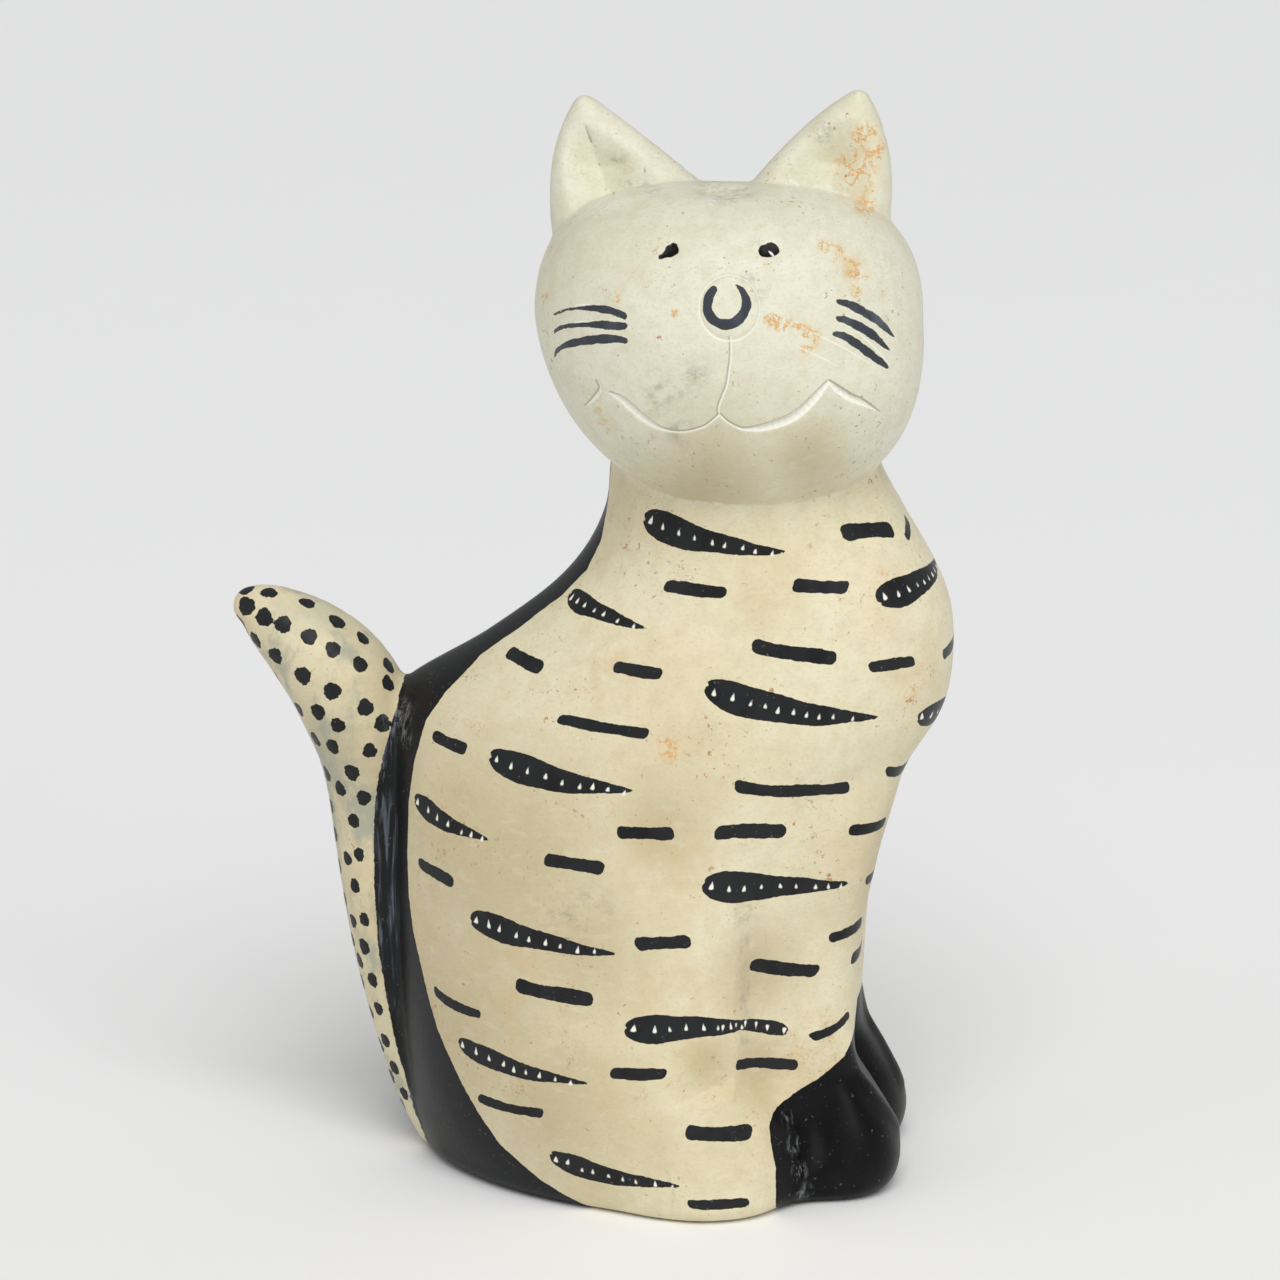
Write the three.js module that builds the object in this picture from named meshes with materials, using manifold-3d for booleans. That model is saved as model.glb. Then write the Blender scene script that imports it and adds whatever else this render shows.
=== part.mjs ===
// A seated cat carved from one block of soapstone, with its head turned to the side.
// Millimetres. +Z is up, the cat's chest points along +X, and its face looks along -Y.
// The origin is on the ground, under the middle of the figure's length and width.

import * as THREE from 'three'
import { mergeVertices } from 'three/addons/utils/BufferGeometryUtils.js'
import Module from 'manifold-3d'

const wasm = await Module()
wasm.setup()

// The torso is a stack of egg-shaped slices. Each station gives a height, where the slice starts at
// the back, where it is widest, where it ends at the front, and half of its width.
const TORSO = [
  { height: 0, back: -30, widest: 20, front: 42, half: 35.4 },
  { height: 10, back: -33, widest: 17, front: 42, half: 38 },
  { height: 25, back: -35, widest: 13, front: 40, half: 38.3 },
  { height: 45, back: -36.3, widest: 9, front: 41.5, half: 36 },
  { height: 62, back: -36.8, widest: 8, front: 47.5, half: 33.4 },
  { height: 75, back: -37, widest: 11, front: 55.3, half: 31.3 },
  { height: 83.5, back: -36.8, widest: 15, front: 61.3, half: 30.2 },
  { height: 89.5, back: -33, widest: 18, front: 63.9, half: 29.4 },
  { height: 98, back: -18.8, widest: 22, front: 64.9, half: 28 },
  { height: 106, back: -8.4, widest: 25, front: 64, half: 26 },
  { height: 114, back: -1.2, widest: 27, front: 60.4, half: 24 },
  { height: 122, back: 2.6, widest: 27, front: 55.4, half: 22.3 },
  { height: 132, back: 3.9, widest: 27, front: 48.4, half: 20.4 },
  { height: 146, back: 9, widest: 26, front: 41, half: 16 },
]
const REAR_ROUNDNESS = 1.75
const FRONT_ROUNDNESS = 2.3
const GROUND_EDGE = 2

// Each front leg is a stack of ovals that widens into a foot. side is how far its middle stands
// from the middle of the cat.
const FRONT_LEG = [
  { height: 0, back: 24, front: 55.3, side: 13, half: 12.6 },
  { height: 6, back: 24, front: 56.9, side: 12.8, half: 13.3 },
  { height: 12, back: 25, front: 55.5, side: 12.4, half: 12.9 },
  { height: 18, back: 26, front: 52, side: 12, half: 12.2 },
  { height: 23.5, back: 27, front: 48.9, side: 11.8, half: 11.6 },
  { height: 35, back: 27.5, front: 48.9, side: 11.8, half: 11.4 },
  { height: 50, back: 28, front: 50, side: 11.8, half: 11.4 },
  { height: 62, back: 29, front: 52.3, side: 11.8, half: 11.6 },
  { height: 72, back: 32, front: 54, side: 11, half: 10.5 },
  { height: 80, back: 36, front: 52, side: 9, half: 6 },
  { height: 90, back: 38, front: 48, side: 6, half: 3 },
]
const LEG_ROUNDNESS = 2.5
const LEG_BLEND = 7

// Each hind foot is a low mound beside the front leg.
const HIND_FOOT = { x: 21.5, side: 27, height: 2, long: 15, broad: 10.5, tall: 15 }
const HIND_BLEND = 4

// The head is an egg lying on its side, tipped back so that the face looks a little up.
const HEAD = { x: 24.7, y: -4, height: 157.3, tilt: 15 }
const SKULL = { halfWidth: 34.1, rise: 23.4, drop: 34.2, halfDepth: 29.5 }
const CROWN_ROUNDNESS = 2.8
const CHIN_ROUNDNESS = 2.12
const FACE_ROUNDNESS = 2.2
const CHIN_LEAN = 0.12
// Over what share of its height the head's outline changes from the chin's curve to the crown's.
const OUTLINE_CHANGE = { from: -0.3, to: 0.7 }

// An ear is measured on the head: across to the right, up, and out towards the face.
// outer and inner are the edge at the root, at its bow and at the tip.
const EARS = [
  {
    outer: [[-30.6, 11.5], [-34.2, 27], [-28, 37.2]],
    inner: [[-1, 19.6], [-12, 29], [-23.6, 37.2]],
    fold: -0.12,
  },
  {
    outer: [[27.4, 13.5], [30, 27.5], [24.3, 38.1]],
    inner: [[0.8, 19], [9, 32.4], [20, 39.1]],
    fold: 0.1,
  },
]
// hollow is how deep the front is cut, and hollowFade the share of the ear below the tip where it ends.
const EAR = { rootThickness: 17, tipThickness: 6.5, forward: 1.5, cap: 1.6, hollow: 6.5, hollowFade: 0.53 }
// Where the rim stops and the hollow starts, as shares of the ear's half width.
const EAR_RIM = { outside: 0.93, inside: 0.74 }

// The tail grows out of the back and leaves it at the top as a blunt horn.
const TAIL = [
  { x: -64.8, height: 102.5, radius: 3.3 },
  { x: -60, height: 101.1, radius: 4.8 },
  { x: -55.7, height: 98.5, radius: 6.6 },
  { x: -50.8, height: 94.6, radius: 8.2 },
  { x: -46.2, height: 89.6, radius: 9.5 },
  { x: -42.9, height: 83.5, radius: 9.9 },
  { x: -41, height: 76, radius: 8.9 },
  { x: -40.1, height: 67.5, radius: 7.8 },
  { x: -39.4, height: 58, radius: 7.2 },
  { x: -38.5, height: 48.5, radius: 6.9 },
  { x: -37.3, height: 39, radius: 6.5 },
  { x: -35.8, height: 29.5, radius: 5.9 },
  { x: -34.1, height: 20, radius: 5 },
  { x: -31.9, height: 10.5, radius: 4 },
  { x: -27.5, height: 0, radius: 3 },
]
const TAIL_BREADTH = 1.15
const TAIL_TIP_STATIONS = 0.9
const TAIL_TIP_FLAT = 0.14

// How finely each surface is cut into facets. Slices of the torso stand closer near the ground.
const TORSO_SIDES = 64
const TORSO_SLICES = 40
const TORSO_CROWDING = 1.15
const HEAD_SIDES = 44
const HEAD_SLICES = 26
const TAIL_SIDES = 18
const TAIL_SLICES = 26
const EAR_SLICES = 9
const EAR_BACK_SIDES = 6
const EAR_CAP_TURNS = [0.35, 0.7, 0.92]
const HALVINGS = 30
const WIDEST_REACH = 90
// The rays to the torso's skin start between its widest place and the middle of its length.
const RAY_START = 0.4
const WELD = 1e-4

// A smooth curve of one named size against height, through all stations.
function sizeAlong(stations, name) {
  const slopes = stations.map((station, i) => {
    const before = stations[Math.max(i - 1, 0)]
    const after = stations[Math.min(i + 1, stations.length - 1)]
    return (after[name] - before[name]) / (after.height - before.height)
  })
  return (height) => {
    const last = stations.length - 1
    const held = THREE.MathUtils.clamp(height, stations[0].height, stations[last].height)
    const i = Math.min(stations.findLastIndex((s) => s.height <= held), last - 1)
    const step = stations[i + 1].height - stations[i].height
    const t = (held - stations[i].height) / step
    const rise = stations[i + 1][name] - stations[i][name]
    const bend = t * (1 - t) * ((slopes[i] * step - rise) * (1 - t) + (rise - slopes[i + 1] * step) * t)
    return stations[i][name] + rise * t + bend
  }
}

function sizesAlong(stations) {
  const names = Object.keys(stations[0]).filter((name) => name !== 'height')
  return Object.fromEntries(names.map((name) => [name, sizeAlong(stations, name)]))
}

const torso = sizesAlong(TORSO)
const leg = sizesAlong(FRONT_LEG)

// How far a point is outside an oval with unequal front and back, in millimetres. Negative inside.
function outsideOval(along, across, reach, half, roundness) {
  const size = (Math.abs(along) / reach) ** roundness + (Math.abs(across) / half) ** roundness
  return (size ** (1 / roundness) - 1) * Math.min(reach, half)
}

function outsideTorso(x, y, z) {
  const along = x - torso.widest(z)
  const rear = along < 0
  const reach = rear ? torso.widest(z) - torso.back(z) : torso.front(z) - torso.widest(z)
  return outsideOval(along, y, reach, torso.half(z), rear ? REAR_ROUNDNESS : FRONT_ROUNDNESS)
}

function outsideLeg(x, y, z) {
  const middle = (leg.back(z) + leg.front(z)) / 2
  const reach = (leg.front(z) - leg.back(z)) / 2
  return outsideOval(x - middle, Math.abs(y) - leg.side(z), reach, leg.half(z), LEG_ROUNDNESS)
}

function outsideHindFoot(x, y, z) {
  const along = (x - HIND_FOOT.x) / HIND_FOOT.long
  const across = (Math.abs(y) - HIND_FOOT.side) / HIND_FOOT.broad
  const up = (z - HIND_FOOT.height) / HIND_FOOT.tall
  return (Math.hypot(along, across, up) - 1) * HIND_FOOT.broad
}

// Joins two shapes with a fillet of about the given size.
function blend(a, b, size) {
  const near = Math.max(size - Math.abs(a - b), 0) / size
  return Math.min(a, b) - (near * near * size) / 4
}

function outsideBody(x, y, z) {
  const withFeet = blend(outsideTorso(x, y, z), outsideHindFoot(x, y, z), HIND_BLEND)
  return blend(withFeet, outsideLeg(x, y, z), LEG_BLEND)
}

// How far the skin is from a slice's middle in one direction, found by halving the span it lies in.
function skinRadius(middle, angle, z) {
  let near = 0
  let far = WIDEST_REACH
  for (let step = 0; step < HALVINGS; step += 1) {
    const radius = (near + far) / 2
    const inside = outsideBody(middle + radius * Math.cos(angle), radius * Math.sin(angle), z) < 0
    near = inside ? radius : near
    far = inside ? far : radius
  }
  return near
}

// A closed surface through a stack of rings, each a list of as many points, shut by a fan at each end.
function surfaceThrough(rings) {
  const count = rings[0].length
  const middles = [rings[0], rings.at(-1)].map((ring) => {
    return ring.reduce((sum, p) => sum.add(p), new THREE.Vector3()).divideScalar(count)
  })
  const points = [...rings.flat(), ...middles]
  const faces = []
  for (let i = 0; i < count; i += 1) {
    const next = (i + 1) % count
    for (let row = 0; row < rings.length - 1; row += 1) {
      const low = row * count
      const high = low + count
      faces.push([low + i, low + next, high + next], [low + i, high + next, high + i])
    }
    const top = (rings.length - 1) * count
    faces.push([points.length - 2, next, i], [points.length - 1, top + i, top + next])
  }
  const volume = faces.reduce((sum, [a, b, c]) => {
    return sum + points[a].dot(new THREE.Vector3().crossVectors(points[b], points[c]))
  }, 0)
  const outward = volume > 0 ? faces : faces.map(([a, b, c]) => [a, c, b])
  const geometry = new THREE.BufferGeometry().setFromPoints(points)
  geometry.setIndex(outward.flat())
  return geometry
}

function toSolid(geometry) {
  const merged = mergeVertices(geometry, WELD)
  return new wasm.Manifold(new wasm.Mesh({
    numProp: 3,
    vertProperties: new Float32Array(merged.attributes.position.array),
    triVerts: new Uint32Array(merged.index.array),
  }))
}

function toGeometry(solid) {
  const mesh = solid.getMesh()
  const geometry = new THREE.BufferGeometry()
  geometry.setAttribute('position', new THREE.BufferAttribute(new Float32Array(mesh.vertProperties), 3))
  geometry.setIndex(new THREE.BufferAttribute(new Uint32Array(mesh.triVerts), 1))
  geometry.computeVertexNormals()
  return geometry
}

// Torso, legs and feet: one ring of skin at each height, with the edge on the ground rounded.
function makeBody() {
  const top = TORSO.at(-1).height
  const rings = []
  for (let slice = 0; slice <= TORSO_SLICES; slice += 1) {
    const z = top * (slice / TORSO_SLICES) ** TORSO_CROWDING
    const rounding = GROUND_EDGE - Math.sqrt(GROUND_EDGE ** 2 - Math.max(GROUND_EDGE - z, 0) ** 2)
    const halfway = (torso.back(z) + torso.front(z)) / 2
    const middle = THREE.MathUtils.lerp(torso.widest(z), halfway, RAY_START)
    const ring = []
    for (let side = 0; side < TORSO_SIDES; side += 1) {
      const angle = (2 * Math.PI * side) / TORSO_SIDES
      const radius = skinRadius(middle, angle, z) - rounding
      ring.push(new THREE.Vector3(middle + radius * Math.cos(angle), radius * Math.sin(angle), z))
    }
    rings.push(ring)
  }
  return toSolid(surfaceThrough(rings))
}

// Puts a point measured on the head (right, up, out towards the face) in its place on the cat.
function onHead(right, up, out) {
  const tilt = THREE.MathUtils.degToRad(HEAD.tilt)
  return new THREE.Vector3(
    HEAD.x + right,
    HEAD.y + up * Math.sin(tilt) - out * Math.cos(tilt),
    HEAD.height + up * Math.cos(tilt) + out * Math.sin(tilt),
  )
}

// The skin of the head in one direction from its middle, given as right, up and out.
function headPoint(right, up, out) {
  const upper = THREE.MathUtils.smoothstep(up, OUTLINE_CHANGE.from, OUTLINE_CHANGE.to)
  const outline = THREE.MathUtils.lerp(CHIN_ROUNDNESS, CROWN_ROUNDNESS, upper)
  const height = up > 0 ? SKULL.rise : SKULL.drop
  const flat = Math.abs(right / SKULL.halfWidth) ** outline + Math.abs(up / height) ** outline
  const size = flat ** (FACE_ROUNDNESS / outline) + Math.abs(out / SKULL.halfDepth) ** FACE_ROUNDNESS
  const radius = size ** (-1 / FACE_ROUNDNESS)
  const lean = Math.max(-up * radius, 0) * CHIN_LEAN
  return onHead(right * radius + lean, up * radius, out * radius)
}

function makeHead() {
  const rings = []
  for (let slice = 1; slice < HEAD_SLICES; slice += 1) {
    const latitude = Math.PI * (slice / HEAD_SLICES - 0.5)
    const ring = []
    for (let side = 0; side < HEAD_SIDES; side += 1) {
      const angle = (2 * Math.PI * side) / HEAD_SIDES
      const level = Math.cos(latitude)
      ring.push(headPoint(level * Math.cos(angle), Math.sin(latitude), level * Math.sin(angle)))
    }
    rings.push(ring)
  }
  return toSolid(surfaceThrough(rings))
}

// Where an ear's facets meet its edge: places across the front, from edge to edge with the fold of
// the hollow between, and then back behind.
function earColumns(fold) {
  const { outside, inside } = EAR_RIM
  const hollow = [-inside, (fold - inside) / 2, fold, (fold + inside) / 2, inside]
  const front = [-1, -outside, ...hollow, outside, 1].map((s) => ({ s, behind: false }))
  const behind = Array.from({ length: EAR_BACK_SIDES - 1 }, (_, i) => {
    return { s: Math.cos((Math.PI * (i + 1)) / EAR_BACK_SIDES), behind: true }
  })
  return [...front, ...behind]
}

// One ear: a stack of slices between its outer and inner edge, hollowed in front to a fold.
function makeEar({ outer, inner, fold }) {
  const [outerEdge, innerEdge] = [outer, inner].map((points) => {
    return new THREE.QuadraticBezierCurve(...points.map(([right, up]) => new THREE.Vector2(right, up)))
  })
  const columns = earColumns(fold)
  const slice = (t, turn) => {
    const shrink = Math.cos((turn * Math.PI) / 2)
    const cap = EAR.cap * Math.sin((turn * Math.PI) / 2)
    const from = outerEdge.getPoint(t)
    const to = innerEdge.getPoint(t)
    const ahead = outerEdge.getTangent(t).add(innerEdge.getTangent(t)).normalize()
    const middle = from.clone().lerp(to, 0.5).addScaledVector(ahead, cap)
    const half = to.clone().sub(from).multiplyScalar(shrink / 2)
    const thickness = THREE.MathUtils.lerp(EAR.rootThickness, EAR.tipThickness, t) * shrink
    const hollow = EAR.hollow * Math.min(1, (1 - t) / EAR.hollowFade)
    return columns.map(({ s, behind }) => {
      const bulge = (Math.sqrt(1 - s * s) * thickness) / 2
      const edge = s < fold ? -EAR_RIM.inside : EAR_RIM.inside
      const dip = Math.max((edge - s) / (edge - fold), 0) * hollow
      const out = EAR.forward + (behind ? -bulge : bulge - dip)
      return onHead(middle.x + half.x * s, middle.y + half.y * s, out)
    })
  }
  const rings = []
  for (let i = 0; i <= EAR_SLICES; i += 1) {
    rings.push(slice(i / EAR_SLICES, 0))
  }
  EAR_CAP_TURNS.forEach((turn) => rings.push(slice(1, turn)))
  return toSolid(surfaceThrough(rings))
}

// The tail: round slices square to a curve through its stations, with a rounded tip.
function makeTail() {
  const path = new THREE.CatmullRomCurve3(TAIL.map(({ x, height }) => new THREE.Vector3(x, 0, height)))
  const rings = []
  for (let slice = 0; slice <= TAIL_SLICES; slice += 1) {
    const t = slice / TAIL_SLICES
    const place = t * (TAIL.length - 1)
    const i = Math.min(Math.floor(place), TAIL.length - 2)
    const ease = THREE.MathUtils.smoothstep(place - i, 0, 1)
    const full = THREE.MathUtils.lerp(TAIL[i].radius, TAIL[i + 1].radius, ease)
    const tip = Math.min(1, place / TAIL_TIP_STATIONS)
    const radius = full * Math.max(Math.sqrt(1 - (1 - tip) ** 2), TAIL_TIP_FLAT)
    const middle = path.getPoint(t)
    const ahead = path.getTangent(t)
    const square = new THREE.Vector3(ahead.z, 0, -ahead.x)
    const ring = []
    for (let side = 0; side < TAIL_SIDES; side += 1) {
      const angle = (2 * Math.PI * side) / TAIL_SIDES
      const point = middle.clone().addScaledVector(square, radius * Math.cos(angle))
      point.y += radius * TAIL_BREADTH * Math.sin(angle)
      point.z = Math.max(point.z, 0)
      ring.push(point)
    }
    rings.push(ring)
  }
  return toSolid(surfaceThrough(rings))
}

const earless = makeBody().add(makeTail()).add(makeHead())
const carved = EARS.reduce((solid, ear) => solid.add(makeEar(ear)), earless)

const stone = new THREE.MeshStandardMaterial({ color: '#e3dcc6', roughness: 0.55, metalness: 0 })
const cat = new THREE.Mesh(toGeometry(carved), stone)
cat.name = 'soapstone_cat'

const group = new THREE.Group()
group.add(cat)

export default group
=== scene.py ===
"""A seated cat carved from soapstone, painted with black strokes, on a plain pale floor.

Shapes are worked out in millimetres and written to the mesh in metres. +Z is up, the chest points
along +X and the face looks along -Y. The near side is the one that the face looks to.
"""

from typing import NamedTuple

import bpy
import numpy as np
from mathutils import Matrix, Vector


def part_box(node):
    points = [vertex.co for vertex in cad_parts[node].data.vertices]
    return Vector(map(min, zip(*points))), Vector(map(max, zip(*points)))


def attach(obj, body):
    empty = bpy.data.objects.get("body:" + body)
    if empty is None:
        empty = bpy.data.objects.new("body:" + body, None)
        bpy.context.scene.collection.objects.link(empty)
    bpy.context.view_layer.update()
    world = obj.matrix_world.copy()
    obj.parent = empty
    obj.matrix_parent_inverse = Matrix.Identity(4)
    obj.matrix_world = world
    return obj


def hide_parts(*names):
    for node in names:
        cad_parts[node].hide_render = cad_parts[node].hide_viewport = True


bl_info = {
    "name": "Soapstone Cat",
    "version": (1, 0, 0),
    "blender": (4, 5, 0),
    "location": "View3D > Sidebar > Soapstone Cat",
    "description": "Builds a carved and painted soapstone cat on a pale studio floor",
    "category": "Add Mesh",
}

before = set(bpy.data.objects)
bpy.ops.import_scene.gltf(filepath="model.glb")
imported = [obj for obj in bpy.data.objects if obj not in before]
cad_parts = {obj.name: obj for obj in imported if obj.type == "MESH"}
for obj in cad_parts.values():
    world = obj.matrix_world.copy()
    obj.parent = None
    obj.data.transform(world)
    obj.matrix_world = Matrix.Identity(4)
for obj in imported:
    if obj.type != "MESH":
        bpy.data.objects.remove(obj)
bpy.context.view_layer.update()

MM = 0.001
# Distances in mm: far from every form, and clear of all paint and cuts.
FAR = 50.0
CLEAR = 6.0

# Mesh: longest edge as a share of the spacing, how far normals may differ over an edge before it is
# halved, and the shortest edge, in mm, that is halved for that.
LONGEST_EDGE = 1.55
SHARP_TURN = 0.36
SHARPEST_EDGE = 0.5
REFINEMENTS = 6
# Longest edge in mm at the edge of paint, of a scratch and of a carved line, and its growth for each
# mm away from there. Round a carved line it starts to grow only from FINE_REACH.
EDGE_AT_PAINT = (0.6, 0.6)
EDGE_AT_SCRATCH = (0.36, 0.55)
EDGE_AT_CUT = (0.22, 0.55)
FINE_REACH = 0.35
# The furthest that a point moves in one step towards the surface.
LONGEST_MOVE = 2.0
# How much of the way to the middle of its neighbours a point moves, at first and at last.
FIRST_RELAX = 0.5
LAST_RELAX = 0.35

# Sizes of the carved stone.

# Egg-shaped slices of the torso: height, back, widest, front, half breadth.
TORSO = np.array([
    (0, -30, 20, 42, 35.4),
    (10, -33, 17, 42, 38),
    (25, -35, 13, 40, 38.3),
    (45, -36.3, 9, 41.5, 36),
    (62, -36.8, 8, 47.5, 33.4),
    (75, -37, 11, 55.3, 31.3),
    (83.5, -36.8, 15, 61.3, 30.2),
    (89.5, -33, 18, 63.9, 29.4),
    (98, -18.8, 22, 64.9, 28),
    (106, -8.4, 25, 64, 26),
    (114, -1.2, 27, 60.4, 24),
    (122, 2.6, 27, 55.4, 22.3),
    (132, 3.9, 27, 48.4, 20.4),
    (146, 9, 26, 41, 16),
])
REAR_ROUNDNESS = 1.75
FRONT_ROUNDNESS = 2.3
GROUND_EDGE = 3.2

# Oval slices of a front leg: height, back, front, side, half breadth.
FRONT_LEG = np.array([
    (0, 24, 55.3, 13, 12.6),
    (6, 24, 56.9, 12.8, 13.3),
    (12, 25, 55.5, 12.4, 12.9),
    (18, 26, 52, 12, 12.2),
    (23.5, 27, 48.9, 11.8, 11.6),
    (35, 27.5, 48.9, 11.8, 11.4),
    (50, 28, 50, 11.8, 11.4),
    (62, 29, 52.3, 11.8, 11.6),
    (72, 32, 54, 11, 10.5),
    (80, 36, 52, 9, 6),
    (90, 38, 48, 6, 3),
])
LEG_ROUNDNESS = 2.5
LEG_BLEND = 7
HIND_FOOT_MIDDLE = (21.5, 27, 2)
HIND_FOOT_HALF = (15, 10.5, 15)
HIND_BLEND = 4

# The tail from its free tip down: x, height, radius.
TAIL = np.array([
    (-61.4, 101.9, 3.4),
    (-59, 100.9, 4.7),
    (-55.7, 98.5, 6.4),
    (-50.8, 94.6, 8.2),
    (-46.2, 89.6, 9.5),
    (-42.9, 83.5, 9.9),
    (-41, 76, 8.9),
    (-40.1, 67.5, 7.8),
    (-39.4, 58, 7.2),
    (-38.5, 48.5, 6.9),
    (-37.3, 39, 6.5),
    (-35.8, 29.5, 5.9),
    (-34.1, 20, 5),
    (-31.9, 10.5, 4),
    (-27.5, 0, 3),
])
TAIL_BREADTH = 1.15
TAIL_BLEND = 2.2

HEAD_MIDDLE = np.array([24.7, -4.0, 157.3])
HEAD_TILT = np.radians(15)
HEAD_HALF_WIDTH = 34.1
HEAD_RISE = 23.4
HEAD_DROP = 34.2
HEAD_HALF_DEPTH = 29.5
CROWN_ROUNDNESS = 2.8
CHIN_ROUNDNESS = 2.12
FACE_ROUNDNESS = 2.2
CHIN_LEAN = 0.12
NECK_BLEND = 1.4
# The rough notch in front of the crown: right, up, out, its reach on each of them, and its depth.
CROWN_NOTCH = ((-0.3, 20.8, 14.5), (4.4, 1.6, 4.0), 1.5)


class Ear(NamedTuple):
    """Edges of an ear on the head, right and up, at root, bow and tip. Its hollow is given across the
    ear, from -1 at the left edge to 1 at the right one: left end, fold, right end and softness."""
    left: tuple
    right: tuple
    hollow: tuple
    soft: float


EARS = (
    Ear(((-30.6, 11.5), (-34.2, 27), (-28, 37.2)), ((-1, 19.6), (-12, 29), (-23.6, 37.2)),
        (-0.8, -0.27, 0.62), 0.02),
    Ear(((0.8, 19), (9, 32.4), (20, 39.1)), ((27.4, 13.5), (30, 27.5), (24.3, 38.1)),
        (-0.78, 0.12, 0.8), 0.22),
)
EAR_ROOT_THICKNESS = 17
EAR_TIP_THICKNESS = 6.5
EAR_FORWARD = 1.5
EAR_HOLLOW = 5.4
EAR_HOLLOW_TOP = 0.78
EAR_TIP_ROUND = 3.0
EAR_BLEND = 0.7

# Soft relief on each front paw, x, across and up: crests along lines with their breadth and height,
# and the hollow beside them with its reach and depth.
PAW_CRESTS = (
    ((47, 18, 27.5), (55, 12, 11), 2.1, 1.1),
    ((39.7, 26.6, 21), (39.9, 28.6, 4), 0.9, 0.5),
)
PAW_HOLLOW = ((43, 27, 15), (3.6, 9, 7.5), 2.8)
# The groove between the two front legs, in the same terms.
LEGS_GROOVE = ((50, 0, 45), (8, 1.6, 20), 4.5)
# The fold behind the front leg: its x, how far it reaches forwards, its middle height and reach.
LEG_FOLD = (28.2, 6.0, 43, 17)
LEG_FOLD_DEPTH = 1.3
# The hind foot's rise out of the flank: x, height of its upper edge and how far it stands out.
MOUND = np.array([
    (12, 20, 0), (18, 22.4, 0.7), (23.5, 24.8, 1.5), (28.4, 26.4, 1.9), (33.5, 22.3, 1.7),
    (36.5, 18.6, 1.2), (40, 15, 0.4), (43, 12, 0),
])
# The fold and the rise start this far from the middle of the cat and reach their full size over a
# ramp. Below its foot the rise fades towards the ground.
FLANK = 18
RELIEF_RAMP = 2.4
MOUND_FOOT = 16
# How high the unevenness of the hand-worked surface is.
WORKED_HEIGHT = 0.06

# Each form is worked out only where it can show: under its top or over its foot, and behind its
# front or in front of its rear. The marks follow the tail and the head slightly further.
BODY_TOP = 150
RELIEF_REAR = 8
RELIEF_TOP = 100
TAIL_FRONT = -18
TAIL_TOP = 115
HEAD_FOOT = 116
EARS_FOOT = 162
MARKED_TAIL_FRONT = -15
MARKED_HEAD_FOOT = 110

# The face's marks are placed square to the way it looks: a little towards the chest and a little up.
LOOK_TURN = np.radians(5)
LOOK_RISE = np.radians(15)
LOOK = np.array([
    np.sin(LOOK_TURN) * np.cos(LOOK_RISE),
    -np.cos(LOOK_TURN) * np.cos(LOOK_RISE),
    np.sin(LOOK_RISE),
])
LOOK_RIGHT = np.array([np.cos(LOOK_TURN), np.sin(LOOK_TURN), 0.0])
LOOK_UP = np.cross(LOOK, LOOK_RIGHT)

# They are laid on it as they look from this far in front of the middle of the cat, on the part of
# the head that is more than FACE_STARTS in front of the head's middle.
DRAWN_FROM = 1000.0
CAT_MIDDLE = np.array([8.7, 0.0, 97.0])
FACE_STARTS = 2

# Blots of the two eyes: right and up from the middle of the head, half width, half height, slant.
EYE_BLOTS = (
    (-10.0, 11.6, 1.35, 1.1, 42), (-11.1, 10.95, 0.85, 0.62, 40), (-11.9, 10.45, 0.6, 0.38, 15),
    (7.2, 11.7, 1.7, 1.28, 8), (6.3, 11.5, 1.1, 1.1, 0),
)
EYE_DEPTH = 0.3
# Lines nearer to an eye than this are black like it, and the others are slate.
EYE_REACH = 1.5
# Brushed lines: right, up and half width. First the open ring of the nose, then the whiskers.
NOSE_RING = (
    (-2.7, 4.67, 0.72), (-3.5, 3.35, 0.84), (-3.75, 1.77, 0.84), (-3.5, 0.37, 0.84), (-2.6, -0.77, 0.88),
    (-1.2, -1.4, 0.91), (0.2, -1.4, 0.91), (1.6, -0.7, 0.88), (2.75, 0.7, 0.84), (3.1, 2.3, 0.77),
    (2.65, 3.9, 0.63), (1.95, 4.9, 0.39), (1.25, 5.45, 0.1),
)
WHISKERS = (
    ((-18.4, 0, 0.56), (-20, 0.7, 0.62), (-22.3, 1.25, 0.68), (-24.4, 1.4, 0.5), (-26.5, 1.35, 0.24),
     (-28.6, 1.1, 0.22), (-30.6, 0.35, 0.24)),
    ((-18.4, -1.75, 0.6), (-20.5, -1.7, 0.72), (-22.6, -1.5, 0.68), (-24.8, -1.5, 0.42),
     (-26.7, -1.6, 0.35), (-28.7, -1.8, 0.38), (-30, -2.3, 0.34), (-30.7, -3, 0.1)),
    ((-18.2, -4.3, 0.5), (-19.9, -4, 0.66), (-22.4, -4, 0.8), (-25, -4.3, 0.72), (-27.3, -4.7, 0.64),
     (-29.1, -5.3, 0.46), (-30.2, -6.2, 0.3), (-30.5, -7.1, 0.1)),
    ((19.2, 2.6, 0.42), (21.2, 2.05, 0.66), (23.9, 0.6, 0.74), (26.2, -0.85, 0.7), (27.7, -2.35, 0.45),
     (29.3, -4, 0.08)),
    ((19.2, -0.45, 0.46), (20.9, -0.85, 0.66), (23.4, -2.1, 0.74), (25.5, -3.5, 0.7), (27, -4.9, 0.42),
     (28.2, -6, 0.08)),
    ((18.6, -3.05, 0.46), (20.5, -3.65, 0.66), (22.7, -5.05, 0.74), (24.8, -6.65, 0.7),
     (26.5, -7.9, 0.62), (27.8, -8.95, 0.32)),
)


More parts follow.
